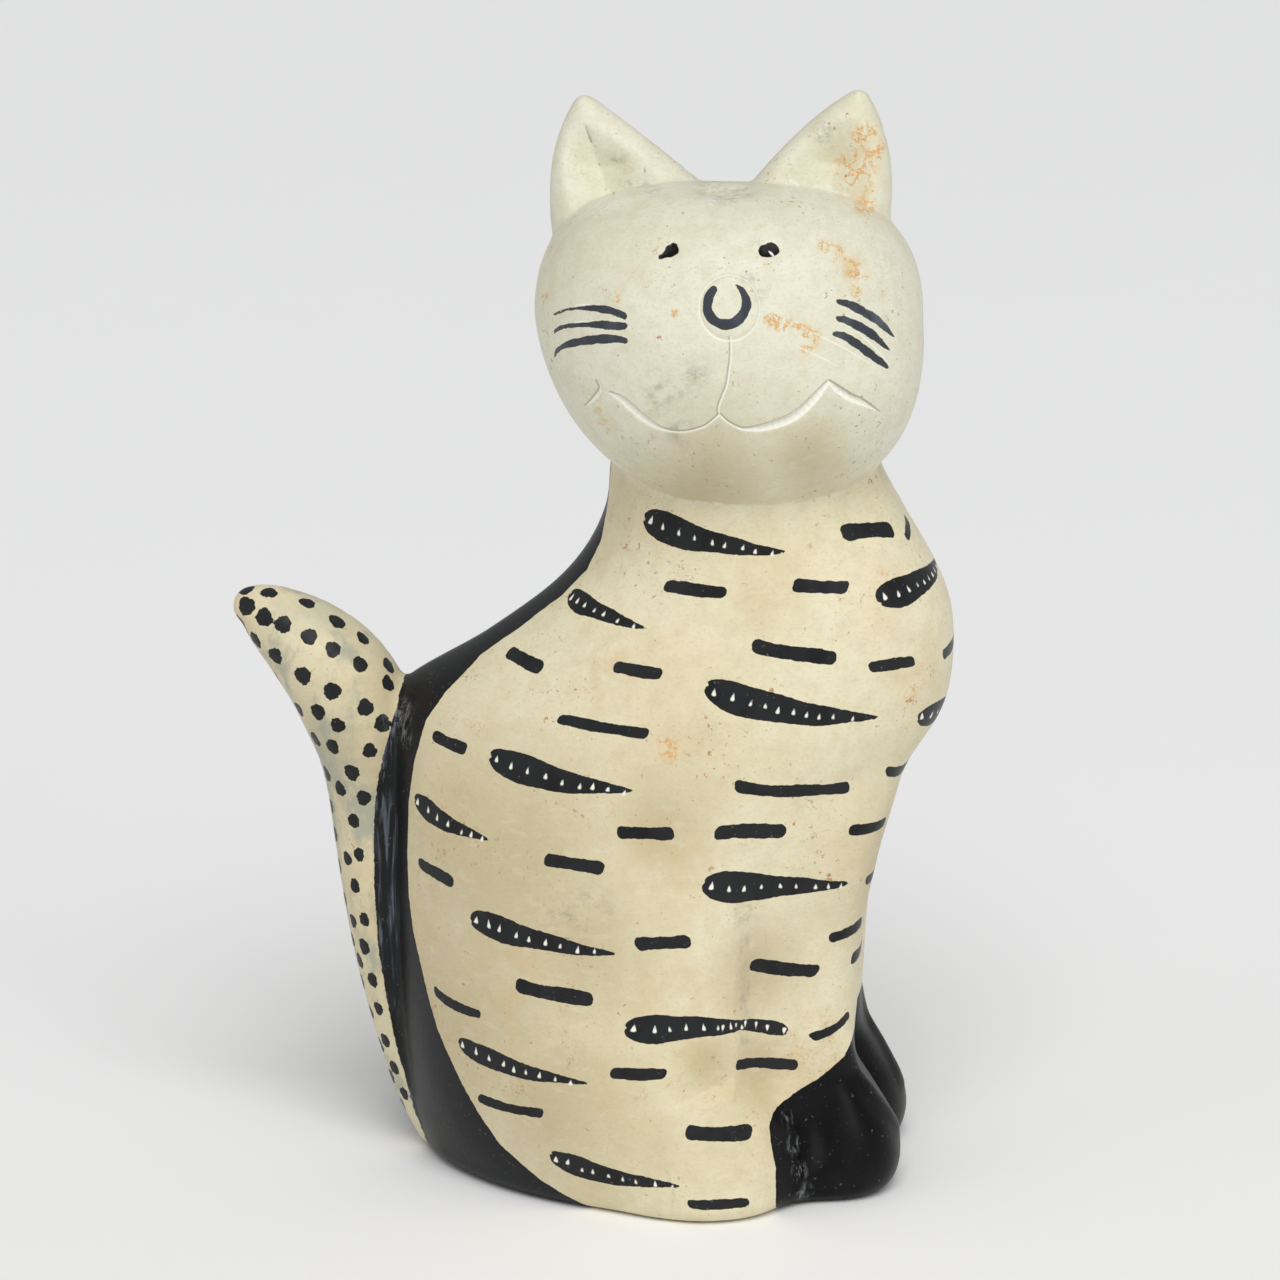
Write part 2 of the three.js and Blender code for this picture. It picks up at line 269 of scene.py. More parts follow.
class Cut(NamedTuple):
    """A chiselled line: right, up and breadth of its sloping face, which lies to the right of the way
    that the line runs, then the breadth of its steep wall, and its depth as a share of the slope's
    breadth."""
    line: tuple
    wall: float = 0.28
    slope: float = 0.5


CUTS = (
    Cut(((-1.8, -17, 0.4), (-1.8, -15.9, 0.45), (-1.2, -14.2, 0.5), (-0.4, -12.1, 0.5), (0, -9.65, 0.5),
         (0.3, -7.55, 0.5), (0.35, -5.4, 0.5), (0.25, -3.6, 0.4))),
    Cut(((-20.9, -13.5, 0.3), (-19.1, -14.2, 0.95), (-17.4, -15.4, 1.3), (-15.6, -17, 1.25),
         (-13.9, -18.4, 1.05), (-12.1, -19.6, 0.6), (-10, -20.2, 0.4), (-7.9, -20.3, 0.36),
         (-5.8, -19.9, 0.36), (-4, -19.2, 0.36), (-2.6, -18.1, 0.4), (-1.7, -17.3, 0.5))),
    Cut(((-1.6, -17.3, 0.4), (-0.2, -18.6, 0.36), (1.3, -19.4, 0.4), (2.8, -19.8, 0.6), (5.5, -19.4, 1.2),
         (8.3, -18.5, 1.6), (10.7, -17.5, 1.7), (13.2, -15.7, 1.65), (15.3, -13.6, 1.4),
         (17.4, -11.5, 0.7))),
    Cut(((17.6, -11.4, 0.6), (19.5, -12.6, 1.4), (21.6, -13.9, 1.5), (23.7, -14.9, 1.2),
         (26.2, -16.8, 0.15))),
    Cut(((-25.1, -15.8, 0.2), (-24, -14.5, 0.8), (-22.8, -12.8, 0.75), (-23.1, -11.2, 0.2)), 1.3),
)
THINNEST_CUT = 0.1
# A cut's pale face, partly pale cut stone and partly a painted highlight on the slope that faces up,
# starts at its line, takes a share of the slope's breadth less a trim, and runs past the ends of the
# line, as the cut does while it fades.
PALE_START = -0.02
PALE_SHARE = 0.85
PALE_TRIM = 0.1
PALE_PAST_END = 0.15
CUT_PAST_END = 0.3
# Marks of the chisel on a slope: their height as a share of the depth, how close they stand in
# radians per mm, and how far from the line they start.
CHISEL_HEIGHT = 0.12
CHISEL_RATE = 5.3
CHISEL_START = 0.1
# Painted shade and grime on a cut's steep wall: where it is darkest, how far it spreads up the wall
# and down from there and past the ends, and its share.
SHADE_AND_GRIME_PLACE = -0.2
SHADE_AND_GRIME_UP = 0.2
SHADE_AND_GRIME_DOWN = 0.12
SHADE_AND_GRIME_PAST_END = 0.25
SHADE_AND_GRIME_SHARE = 0.9
# Dry scratches, and last a small white spot in the right eye: right, up and half width.
SCRATCHES = (
    ((14.9, -3, 0.06), (20, -5.5, 0.1), (25.5, -8.8, 0.06)),
    ((22.3, -2.6, 0.06), (25.3, -5.2, 0.1), (28.3, -8.6, 0.06)),
    ((-27, 1.8, 0.1), (-25.6, 2, 0.16), (-24.4, 2.05, 0.1)),
    ((-27, -1.05, 0.08), (-25.6, -0.95, 0.14), (-24.6, -0.95, 0.08)),
    ((12, -5.4, 0.06), (16, -7.2, 0.1), (19, -8.8, 0.06)),
    ((7.1, 11.5, 0.1), (7.5, 11.1, 0.2), (7.8, 10.7, 0.14)),
)
# The fold in the left ear: right, up and half width of the painted shade in it.
EAR_FOLD = (
    (-25.2, 33.2, 0.06), (-24, 30, 0.13), (-23, 27.2, 0.13), (-21.4, 24.4, 0.14), (-20.3, 21.6, 0.12),
)
EAR_FOLD_DEPTH = 0.2
EAR_FOLD_REACH = 0.5
# The incised circle round the nose: its middle, right and up, and its two radii.
NOSE_BUTTON = ((0.1, 1.4), (5.1, 5.5))
NOSE_GROOVE = 0.26
NOSE_LIP = 0.6
# Its pale outer rim, a painted highlight along the groove's edge: distance from the groove and
# half width. Painted shade and grime in the groove: share and reach.
NOSE_RIM = (0.25, 0.08)
NOSE_SHADE_AND_GRIME = (0.3, 0.2)
# Painted shade in the groove between the front legs: how far to each side of its middle and how
# high it is darkest, its reach both ways, the x it starts at and its share.
LEGS_PAINTED_SHADE = ((3, 45), (1.7, 14), 43, 0.8)

# Places of the paint.

# Where the black band of the back ends on either side: height, x.
BAND_EDGE = np.array([
    (0, 3), (5, -6.6), (10.5, -14), (15.5, -18), (20, -21), (24, -23.3), (29, -26), (34, -27.7),
    (40, -29.4), (46, -31), (52, -31.9), (60, -32.2), (70, -31.7), (77, -30.6), (85, -28.4),
    (90, -25), (96, -19), (101, -12), (107, -4.6), (112, 0), (117, 2.4), (123, 3.2), (132, 4),
])
# Above this height there is none.
BAND_TOP = 136
# The share of the strokes' lighter black that the band is given, as painted light, since it faces
# up more than the feet. A stroke has 1 and the feet have 0.
BAND_LIGHT_SHARE = 0.55
# How far the band climbs onto the flank of the tail: height, width.
BAND_ON_TAIL = np.array([
    (0, 0.1), (6, 0.3), (14, 0.65), (21, 1.4), (30, 2.2), (40, 3), (52, 3.2), (62, 3), (72, 2.5),
    (77, 1.8), (82, 0.9), (86, 0.4), (110, 0.4),
])
# Where the black of the feet starts: height, x.
FEET_EDGE = np.array([
    (0, 35.7), (9, 35.7), (14, 34.8), (17, 34.4), (18.7, 35), (19.6, 36.5), (21, 39), (22.8, 42.6),
    (24.9, 45.3), (26.2, 47), (29, 48.4), (32, 49.5), (36, 56),
])
# Above this height there is none.
FEET_TOP = 40

# Strokes round the body: turn and height of the blunt end, then of the other, then the breadth and
# how far the middle sags. A turn is in degrees from the chest, and grows towards the near side, so
# the far side's turns are negative.
LEAVES = (
    (139, 123.2, 70, 119.4, 5.4, 1.0),
    (162, 107.8, 121, 105.4, 4.0, 0.9),
    (38, 110.4, -6, 112.3, 5.4, 1.2),
    (87.5, 96.2, 31, 89.8, 5.9, 1.2),
    (141.5, 81.4, 92, 78, 5.5, 1.1),
    (160.5, 70.6, 132, 66.8, 3.9, 0.8),
    (64, 61.3, 28, 59.4, 5.6, 0.5),
    (135, 52.2, 88, 49.3, 4.7, 0.4),
    # The wavy stroke over the near paw is two strokes that meet.
    (87, 36, 49, 34.8, 5.2, -0.4),
    (40, 32.3, 64, 35.5, 2.7, 1.0),
    (141.5, 28.3, 99, 25.8, 4.0, 0.8),
    (116.5, 10.6, 79.5, 8.2, 4.4, 1.0),
    (19, 88, -22, 90, 4.6, 0.5),
    # The far side.
    (-42, 122, -104, 119, 5.2, 0.9),
    (-26, 101, -72, 97, 5.6, 0.9),
    (-92, 93, -140, 90, 5.2, 0.9),
    (-45, 74, -92, 71, 5.5, 0.7),
    (-108, 60, -150, 58, 4.8, 0.6),
    (-38, 45, -80, 42, 5.2, 0.6),
    (-96, 32, -140, 29, 4.6, 0.6),
    (-72, 12, -112, 10, 4.6, 0.6),
)
# Half width of a leaf stroke from its blunt end at 0 to its tip at 1, as a share of its widest.
LEAF_OUTLINE = np.array([
    (0, 0.3), (0.03, 0.6), (0.08, 0.82), (0.15, 0.96), (0.23, 1), (0.4, 0.84), (0.55, 0.69),
    (0.7, 0.54), (0.85, 0.32), (0.95, 0.17), (1, 0.04),
])
# Short dashes, in the same terms.
DASHES = (
    (45.5, 122, 21.5, 121, 2.8, 0), (15.5, 118.6, 2, 121, 1.8, 0),
    (121.5, 112.6, 94.5, 112.3, 2.2, 0), (68, 113.8, 47.5, 112.8, 2.3, 0),
    (78.5, 103.6, 49, 101, 2.5, 0.2), (39, 99.1, 25, 98.8, 2.0, 0), (12.5, 98, -9, 98.5, 2.0, 0),
    (161.5, 97.6, 146, 96.6, 2.6, 0.2), (124, 98.6, 105.5, 98.2, 2.1, 0),
    (128.5, 89.2, 96.5, 87.8, 1.9, 0), (159, 83, 148.5, 81.6, 2.2, 0.1),
    (61.5, 78.9, 30.5, 77, 2.2, 0.4), (22, 78.6, -4, 78, 2.0, 0),
    (92.5, 70.6, 75, 70.7, 2.2, 0.1), (63, 70.4, 43.5, 69.9, 2.6, -0.5), (30, 69.2, 19, 69, 1.9, 0),
    (113, 64.9, 93.5, 64, 2.3, -0.2), (157, 59.2, 142, 57.6, 2.2, 0), (23, 58.8, 10, 58.6, 1.9, 0),
    (82.5, 51.2, 67, 51.7, 2.3, 0.1), (30.5, 49, 20, 50.6, 2.0, 0),
    (49, 45.4, 32.5, 43, 2.4, 0.2), (24, 44, 14, 45, 2.2, 0),
    (119, 41.8, 95, 41, 2.6, 0.1), (150, 36.6, 132, 34.9, 1.8, 0.8),
    (35, 30.8, 24.5, 34, 1.7, 0.6), (58, 28.4, 38.5, 25.8, 1.9, -0.3),
    (92.5, 28, 77.5, 28.3, 2.1, 0), (137, 18.6, 115, 18.6, 1.8, 0.2),
    (76, 18.1, 58.5, 16.7, 2.7, 0.1), (79.5, 4.6, 63.5, 4.3, 1.9, 0.1),
    # The far side.
    (-14, 112, -34, 112, 2.2, 0), (-58, 111, -84, 111, 2.2, 0), (-100, 106, -126, 105, 2.2, 0.2),
    (-84, 100, -104, 99, 2.2, 0), (-46, 88, -76, 87, 2.4, 0.2), (-112, 82, -138, 80, 2.2, 0),
    (-20, 84, -36, 83, 2.1, 0), (-66, 80, -86, 79, 2.1, 0), (-108, 71, -126, 70, 2.2, 0),
    (-24, 66, -38, 65, 2.0, 0), (-58, 61, -84, 60, 2.3, 0.2), (-100, 50, -122, 49, 2.2, 0),
    (-26, 55, -38, 54, 2.0, 0), (-54, 52, -76, 51, 2.2, 0), (-128, 44, -148, 42, 2.0, 0.3),
    (-94, 41, -114, 40, 2.4, 0), (-28, 36, -40, 34, 2.0, 0), (-54, 31, -78, 30, 2.2, 0),
    (-66, 21, -88, 20, 2.4, 0), (-112, 20, -134, 18, 2.0, 0.2), (-60, 5, -78, 5, 2.2, 0),
)
# Triangles scratched along a leaf stroke: how far apart they stand, their height and breadth at the
# blunt end and further on, and by which factors these vary from one to the next.
SCRATCH_STEP = 2.9
SCRATCH_TALL = (1.6, 1.15)
SCRATCH_BROAD = (1.12, 0.84)
STEP_VARIES = (0.72, 1.25)
TALL_VARIES = (0.8, 1.15)
BROAD_VARIES = (0.8, 1.2)
# The row starts this many half breadths from the blunt end, and stops at this share of half the
# stroke's length past its middle.
SCRATCH_START = 0.55
SCRATCH_STOP = 0.9
SCRATCH_DEPTH = 0.14
SCRATCH_WALL = 0.2
STROKE_SEED = 1000

# Dots of the near side of the tail: how far down the tail, less than 0 on its rounded tip, and the
# turn about it in degrees, from its upper side towards the near one.
TAIL_DOTS = (
    (-2.3, 15), (-0.9, 80), (-0.6, 160), (1.9, 27), (7.5, 19), (13, 23), (17.5, 18), (22.4, 14),
    (3, 83), (6.2, 72), (11, 64), (15.2, 57), (19.7, 46), (24.3, 30), (4.1, 137), (8.7, 119),
    (14.8, 105), (20.3, 88), (25.4, 66), (28.7, 55), (11.7, 159), (20.6, 145), (22.5, 115),
    (26.5, 100), (32.7, 75), (29, 140), (30.8, 116), (36.3, 101), (41.4, 91), (37.5, 147),
    (39.9, 124), (46, 110), (52.4, 107), (44.2, 158), (49.7, 157), (53.3, 129), (58.4, 121),
    (64.8, 113), (55.7, 159), (61.7, 158), (65.6, 139), (70.3, 123), (69.5, 157), (73.2, 144),
    (76.5, 120), (77.7, 158), (82.3, 123), (83.6, 155), (88.6, 129), (90.2, 157), (94.2, 126),
    (96.2, 152), (99.4, 121), (101.6, 156),
)
# The far side has the same dots, from this turn on, moved down the tail a little.
FAR_DOT_SHIFT = 1.7
FAR_DOT_TURN = 40
# Radius on the tail's upper and lower part, where the dots start to change and over what length,
# how much longer than broad they get there, and by which factors they vary.
DOT_RADIUS = (1.5, 1.12)
DOT_CHANGE_START = 22
DOT_CHANGE_LENGTH = 30
DOT_STRETCH = 0.28
DOT_VARIES = (0.92, 1.08)
DOT_SEED = 7
# The tail's line is followed through this many places, and its way at one of them is taken between
# the places this many before and after it.
TAIL_STEPS = 400
TAIL_LOOK = 3
# The skin is looked for within this radius of a slice's middle, by halving.
SKIN_REACH = 80.0
HALVINGS = 24
# Over how many mm the stone turns from the body's into the tail's and into the head's.
TAIL_CHANGE = 0.8
HEAD_CHANGE = 7

# Patches on the face's marks: right, up and radius.
FACE_PATCHES = {
    "rust": (
        (24, 31.6, 2.2), (25.8, 29.6, 1.4), (22.3, 25.6, 3.2), (24, 19.3, 1.6), (16.7, 12.3, 1.0),
        (19.2, 11.6, 0.8), (20.4, 9.6, 0.8), (21.8, 8.2, 1.5), (23.6, 7.6, 0.9), (22.3, 4.3, 0.9),
        (27, 3.5, 0.5), (6.8, -0.7, 0.8), (8.3, -1.0, 1.4), (10.4, -1.8, 1.2), (12.4, -1.6, 1.0),
        (14.4, -3.6, 1.6), (13.7, -5.6, 1.0), (-9.3, 0.5, 0.5), (-19.7, 3.1, 0.7), (-25.4, 4.7, 0.3),
        (-32.5, 3.3, 0.6), (-23.0, -16.6, 0.6), (-22.2, -18.6, 0.6), (-21, -20.5, 0.4), (6, 16, 0.4),
        (10, 15, 0.5),
    ),
    "stain_and_shade": ((21.5, 26, 4.5), (24, 21.5, 4), (21.5, 8, 3.2), (12, -3, 4.5)),
    # Grey patches, partly painted shade in the ear hollows that face down and in the crown's notch.
    "grey_and_shade": (
        (-4, 22.6, 2.0), (-1.6, 22, 2.2), (0.6, 21.6, 2.3), (3, 22.5, 2.0), (-1, 20.4, 1.2),
        (17, 32, 2.6), (-19.5, 27, 1.9), (-17, 24, 1.9), (-14, 22.5, 1.7), (5, 12.2, 1.2),
        (3.6, 6.8, 1.4), (5.4, 4.0, 1.2), (-10.5, -12.6, 4.2), (-8.3, -20.4, 2.4), (-6, -10.6, 2.6),
        (-13, -15, 2.6),
    ),
    "chalk": (
        (-23.5, 18.4, 1.2), (-21.5, 20, 1.4), (-18.9, 20.6, 1.3), (11, 22.6, 1.4), (14.5, 22.3, 1.5),
        (17.7, 21.6, 1.4), (20.6, 19.9, 1.4), (1.5, 21.2, 0.8), (-3, 20.2, 0.8),
    ),
    # Painted shade under the chin, which faces down.
    "shade_and_tone": ((-3, -28, 11), (14, -25, 8)),
}
# Patches on the body's marks: turn, height and radius.
BODY_PATCHES = {
    "speckled": (
        (34, 30, 5), (30, 26, 4.5), (42, 27, 3), (146, 70, 4), (150, 86, 2.5), (124, 22.8, 3),
        (118, 22.5, 2), (151, 46, 2), (147, 65, 1.6), (86, 24, 2), (176, 97, 2), (174, 79, 1.6),
        (157, 50, 1.5),
    ),
    "rust": ((88, 86, 1.6), (86, 84.5, 1.2), (33, 114.5, 0.6), (24, 93, 1.2)),
    "grey_and_shade": (
        # Grey stone, then painted shade in the fold behind the front leg.
        (104, 54, 4.5), (96, 57, 4), (51, 56, 3), (50, 48, 3.5), (50, 40, 3.5), (52, 34, 3),
    ),
    "chalk": (
        (170, 84, 2.8), (167, 81, 1.8), (45.5, 16.5, 1.4), (46, 12, 1.5), (46, 7, 1.5), (45.5, 3, 1.4),
    ),
    # Partly painted shade, low on the flank and beside the fold behind the front leg.
    "stain_and_shade": ((33, 28, 8), (75, 66, 8), (72, 42, 8), (120, 40, 14), (128, 100, 8), (27, 98, 6)),
    # Painted shade on the chest under the chin, in the fold behind the front leg and on flanks that face
    # away from the light, and a darker tone on the tail.
    "shade_and_tone": (
        (126, 62, 26), (142, 32, 26), (114, 20, 16), (98, 50, 14), (66, 30, 5), (47, 44, 9), (50, 28, 6),
        (10, 60, 18), (80, 72, 10), (180, 78, 24), (-120, 50, 30), (-60, 25, 20),
    ),
}
PATCHES = ("rust", "stain_and_shade", "grey_and_shade", "chalk", "speckled", "shade_and_tone")


# Surfaces.

def through_stations(places, sizes, where):
    """A smooth curve through stations: between two of them it is the cubic that leaves each one with
    the slope of the line from the station before it to the station after it."""
    slopes = np.gradient(sizes, axis=0)
    slopes[1:-1] = (sizes[2:] - sizes[:-2]) / (places[2:] - places[:-2])[:, None]
    slopes[0] = (sizes[1] - sizes[0]) / (places[1] - places[0])
    slopes[-1] = (sizes[-1] - sizes[-2]) / (places[-1] - places[-2])
    held = np.clip(where, places[0], places[-1])
    i = np.clip(np.searchsorted(places, held, side="right") - 1, 0, len(places) - 2)
    step = (places[i + 1] - places[i])[:, None]
    t = (held - places[i])[:, None] / step
    rise = sizes[i + 1] - sizes[i]
    bend = (slopes[i] * step - rise) * (1 - t) + (rise - slopes[i + 1] * step) * t
    return (sizes[i] + rise * t + t * (1 - t) * bend).T


def smooth_min(a, b, size):
    """The lower of two distances, rounded where they are less than size apart, which leaves a fillet."""
    near = np.maximum(size - np.abs(a - b), 0) / size
    return np.minimum(a, b) - near * near * size / 4


def smooth_max(a, b, size):
    """The higher of two distances, rounded where they are less than size apart."""
    return -smooth_min(-a, -b, size)


def between(ends, share):
    """The value that lies this share of the way from the first of two to the second."""
    return ends[0] + (ends[1] - ends[0]) * share


def slice_middle(height):
    """x of the point that turns are measured round, between a slice's widest place and its middle."""
    back, widest, front, _ = through_stations(TORSO[:, 0], TORSO[:, 1:], height)
    return 0.6 * widest + 0.2 * (back + front)


def outside_torso(points):
    """An oval with another reach to the rear than to the front: (along/reach)^n + (across/half)^n = 1."""
    x, y, z = points.T
    back, widest, front, half = through_stations(TORSO[:, 0], TORSO[:, 1:], z)
    rear = x < widest
    reach = np.where(rear, widest - back, front - widest)
    n = np.where(rear, REAR_ROUNDNESS, FRONT_ROUNDNESS)
    size = (np.abs(x - widest) / reach) ** n + (np.abs(y) / half) ** n
    return (size ** (1 / n) - 1) * np.minimum(reach, half)


def outside_leg(points):
    """An oval to either side of the middle at each height: |along/reach|^n + |across/half|^n = 1."""
    x, y, z = points.T
    back, front, side, half = through_stations(FRONT_LEG[:, 0], FRONT_LEG[:, 1:], z)
    reach = (front - back) / 2
    along = np.abs(x - (back + front) / 2) / reach
    across = np.abs(np.abs(y) - side) / half
    size = along ** LEG_ROUNDNESS + across ** LEG_ROUNDNESS
    return (size ** (1 / LEG_ROUNDNESS) - 1) * np.minimum(reach, half)


def outside_hind_foot(points):
    """An oval ball to either side, half sunk in the ground: (x/a)^2 + (y/b)^2 + (z/c)^2 = 1."""
    beside = np.stack([points[:, 0], np.abs(points[:, 1]), points[:, 2]], axis=1)
    scaled = (beside - HIND_FOOT_MIDDLE) / np.array(HIND_FOOT_HALF)
    return (np.linalg.norm(scaled, axis=1) - 1) * min(HIND_FOOT_HALF)


def outside_body(points):
    """The torso, the hind feet and the front legs: the lowest of their distances, with fillets."""
    with_feet = smooth_min(outside_torso(points), outside_hind_foot(points), HIND_BLEND)
    return smooth_min(with_feet, outside_leg(points), LEG_BLEND)


def tail_line(count):
    """Points and radii along the tail, from tip to ground."""
    stations = np.arange(len(TAIL), dtype=float)
    x, z, radius = through_stations(stations, TAIL, np.linspace(0, len(TAIL) - 1, count))
    return np.stack([x, np.zeros(count), z], axis=1), radius


def outside_tail(points):
    """The distance to the nearest place on the tail's line less the radius there, squashed sideways."""
    line, radius = tail_line(45)
    squashed = points * (1, 1 / TAIL_BREADTH, 1)
    nearest = np.full(len(points), FAR)
    for a, b, r0, r1 in zip(line[:-1], line[1:], radius[:-1], radius[1:]):
        way = b - a
        t = np.clip((squashed - a) @ way / (way @ way), 0, 1)
        gap = np.linalg.norm(squashed - a - t[:, None] * way, axis=1) - (r0 + (r1 - r0) * t)
        nearest = np.minimum(nearest, gap)
    return nearest


def on_head(points):
    """Places measured on the head: to its right, up, and out towards the face."""
    x, y, z = (points - HEAD_MIDDLE).T
    sine, cosine = np.sin(HEAD_TILT), np.cos(HEAD_TILT)
    return x, y * sine + z * cosine, z * sine - y * cosine


def outside_head(points):
    """An egg on its side. In each direction from its middle the radius r solves
    (|right/w|^m + |up/h|^m)^(f/m) + |out/d|^f = 1, with m growing from the chin to the crown. The
    notch takes depth * exp(-(distance/reach)^2) away."""
    right, up, out = on_head(points)
    right = right - np.maximum(-up, 0) * CHIN_LEAN
    far = np.sqrt(right ** 2 + up ** 2 + out ** 2) + 1e-6
    t = np.clip(up / far + 0.3, 0, 1)
    m = CHIN_ROUNDNESS + (CROWN_ROUNDNESS - CHIN_ROUNDNESS) * t * t * (3 - 2 * t)
    height = np.where(up > 0, HEAD_RISE, HEAD_DROP)
    flat = np.abs(right / far / HEAD_HALF_WIDTH) ** m + np.abs(up / far / height) ** m
    size = flat ** (FACE_ROUNDNESS / m) + np.abs(out / far / HEAD_HALF_DEPTH) ** FACE_ROUNDNESS
    middle, reach, depth = CROWN_NOTCH
    off = [(place - at) / span for place, at, span in zip((right, up, out), middle, reach)]
    hollow = depth * np.exp(-(off[0] ** 2 + off[1] ** 2 + off[2] ** 2))
    return far - size ** (-1 / FACE_ROUNDNESS) + hollow


def ear_edge(edge, up):
    """An ear's edge is a quadratic curve through root, bow and tip. At each height: how far right it
    is, the cosine of its lean, and the share of its length, 0 at the root and 1 at the tip."""
    (r0, u0), (r1, u1), (r2, u2) = edge
    a, b, c = u0 - 2 * u1 + u2, 2 * (u1 - u0), u0 - up
    t = (-b + np.sqrt(np.maximum(b * b - 4 * a * c, 0))) / (2 * a)
    t = np.clip(t, -0.8, 1.4)
    right = (1 - t) ** 2 * r0 + 2 * t * (1 - t) * r1 + t * t * r2
    slope = (2 * (1 - t) * (r1 - r0) + 2 * t * (r2 - r1)) / (2 * (1 - t) * (u1 - u0) + 2 * t * (u2 - u1))
    return right, 1 / np.sqrt(1 + slope ** 2), t


def outside_ear(points, ear):
    """A leaf between two curved edges, thick at the root: across^2.2 + |out/half thickness|^2.2 = 1,
    with across 0 in its middle and 1 at its edges. In front, a hollow takes away a depth that grows
    evenly from each of its ends to the fold, and is less towards the tip."""
    right, up, out = on_head(points)
    left, left_cos, left_t = ear_edge(ear.left, up)
    far, far_cos, far_t = ear_edge(ear.right, up)
    half = np.maximum((far - left) / 2, 0.5)
    outline = smooth_max((left - right) * left_cos, (right - far) * far_cos, EAR_TIP_ROUND)
    depth_in = 1 + outline / half
    t = np.clip((left_t + far_t) / 2, 0, 1)
    thickness = EAR_ROOT_THICKNESS + (EAR_TIP_THICKNESS - EAR_ROOT_THICKNESS) * t
    s = (right - (left + far) / 2) / half
    lens = np.sqrt(np.maximum(depth_in, 0) ** 2.2 + np.abs((out - EAR_FORWARD) / (thickness / 2)) ** 2.2)
    solid = (lens - 1) * np.minimum(half, thickness / 2)
    start, fold, end = ear.hollow
    share = smooth_min((s - start) / (fold - start), (end - s) / (end - fold), ear.soft)
    share = smooth_min(smooth_max(share, 0 * s, 0.12), 1 + 0 * s, 0.02)
    depth = EAR_HOLLOW * np.clip((EAR_HOLLOW_TOP - t) / 0.36, 0, 1)
    front = EAR_FORWARD + np.sqrt(np.maximum(1 - s * s, 0)) * thickness / 2 - share * depth
    return smooth_max(solid, (out - front) * 0.8, 0.6)


def along_capsule(points, start, end):
    """Distance of each point to the straight line between two places."""
    start, way = np.array(start, float), np.array(end, float) - start
    t = np.clip((points - start) @ way / (way @ way), 0, 1)
    return np.linalg.norm(points - start - t[:, None] * way, axis=1)


def leg_relief(points):
    """How much the crests and hollows of paws and legs add: height * exp(-(distance/breadth)^2)."""
    beside = np.stack([points[:, 0], np.abs(points[:, 1]), points[:, 2]], axis=1)
    raised = np.zeros(len(points))
    for start, end, breadth, height in PAW_CRESTS:
        raised += height * np.exp(-(along_capsule(beside, start, end) / breadth) ** 2)
    for middle, reach, depth in (PAW_HOLLOW, LEGS_GROOVE):
        raised -= depth * np.exp(-(((beside - middle) / reach) ** 2).sum(axis=1))
    x, y, z = beside.T
    start, breadth, middle, reach = LEG_FOLD
    fading = np.exp(-((x - start) / breadth) ** 2 - ((z - middle) / reach) ** 2)
    folded = np.clip((x - start) / RELIEF_RAMP, 0, 1) * fading
    upper, stands = (np.interp(x, MOUND[:, 0], MOUND[:, k]) for k in (1, 2))
    mound = stands * np.clip((upper - z) / RELIEF_RAMP, 0, 1) * np.clip(z / MOUND_FOOT, 0, 1)
    return raised + np.where(y > FLANK, mound - LEG_FOLD_DEPTH * folded, 0)


def hand_worked(points):
    """The slight unevenness that rasp and sandpaper leave: a sum of long, slanting waves."""
    x, y, z = points.T
    waves = np.sin(x / 5.1 + z / 7.3 + 0.4)
    waves += np.sin(y / 4.3 - z / 6.1 + 1.7)
    waves += np.sin(x / 8.9 - y / 5.7 + z / 3.9)
    return WORKED_HEIGHT * waves


def outside_cat(points):
    """How far each point is outside the stone, negative inside: all forms joined with soft fillets,
    and cut flat at the ground."""
    z = points[:, 2]
    result = np.full(len(points), FAR)
    low = z < BODY_TOP
    result[low] = outside_body(points[low])
    legs = (z < RELIEF_TOP) & (points[:, 0] > RELIEF_REAR)
    result[legs] -= leg_relief(points[legs])
    behind = (points[:, 0] < TAIL_FRONT) & (z < TAIL_TOP)
    result[behind] = smooth_min(result[behind], outside_tail(points[behind]), TAIL_BLEND)
    high = z > HEAD_FOOT
    head = outside_head(points[high])
    crown = points[high][:, 2] > EARS_FOOT
    ears = np.full(len(head), FAR)
    for ear in EARS:
        ears[crown] = np.minimum(ears[crown], outside_ear(points[high][crown], ear))
    head = smooth_min(head, ears, EAR_BLEND)
    result[high] = smooth_min(result[high], head, NECK_BLEND)
    return smooth_max(result + hand_worked(points), -z, GROUND_EDGE)


def slope_of(field, points, step=0.05):
    """The way in which a field grows fastest at each point, from its change over a small step."""
    return np.stack([
        (field(points + axis * step) - field(points - axis * step)) / (2 * step) for axis in np.eye(3)
    ], axis=1)


def settle(field, points, rounds=3):
    """Moves points onto the surface where the field is zero: each step is -f * slope / |slope|^2."""
    for _ in range(rounds):
        slope = slope_of(field, points)
        steep = np.maximum((slope ** 2).sum(axis=1), 0.05)
        move = -slope * (field(points) / steep)[:, None]
        length = np.linalg.norm(move, axis=1, keepdims=True)
        points = points + move * np.minimum(1, LONGEST_MOVE / np.maximum(length, 1e-9))
    return points


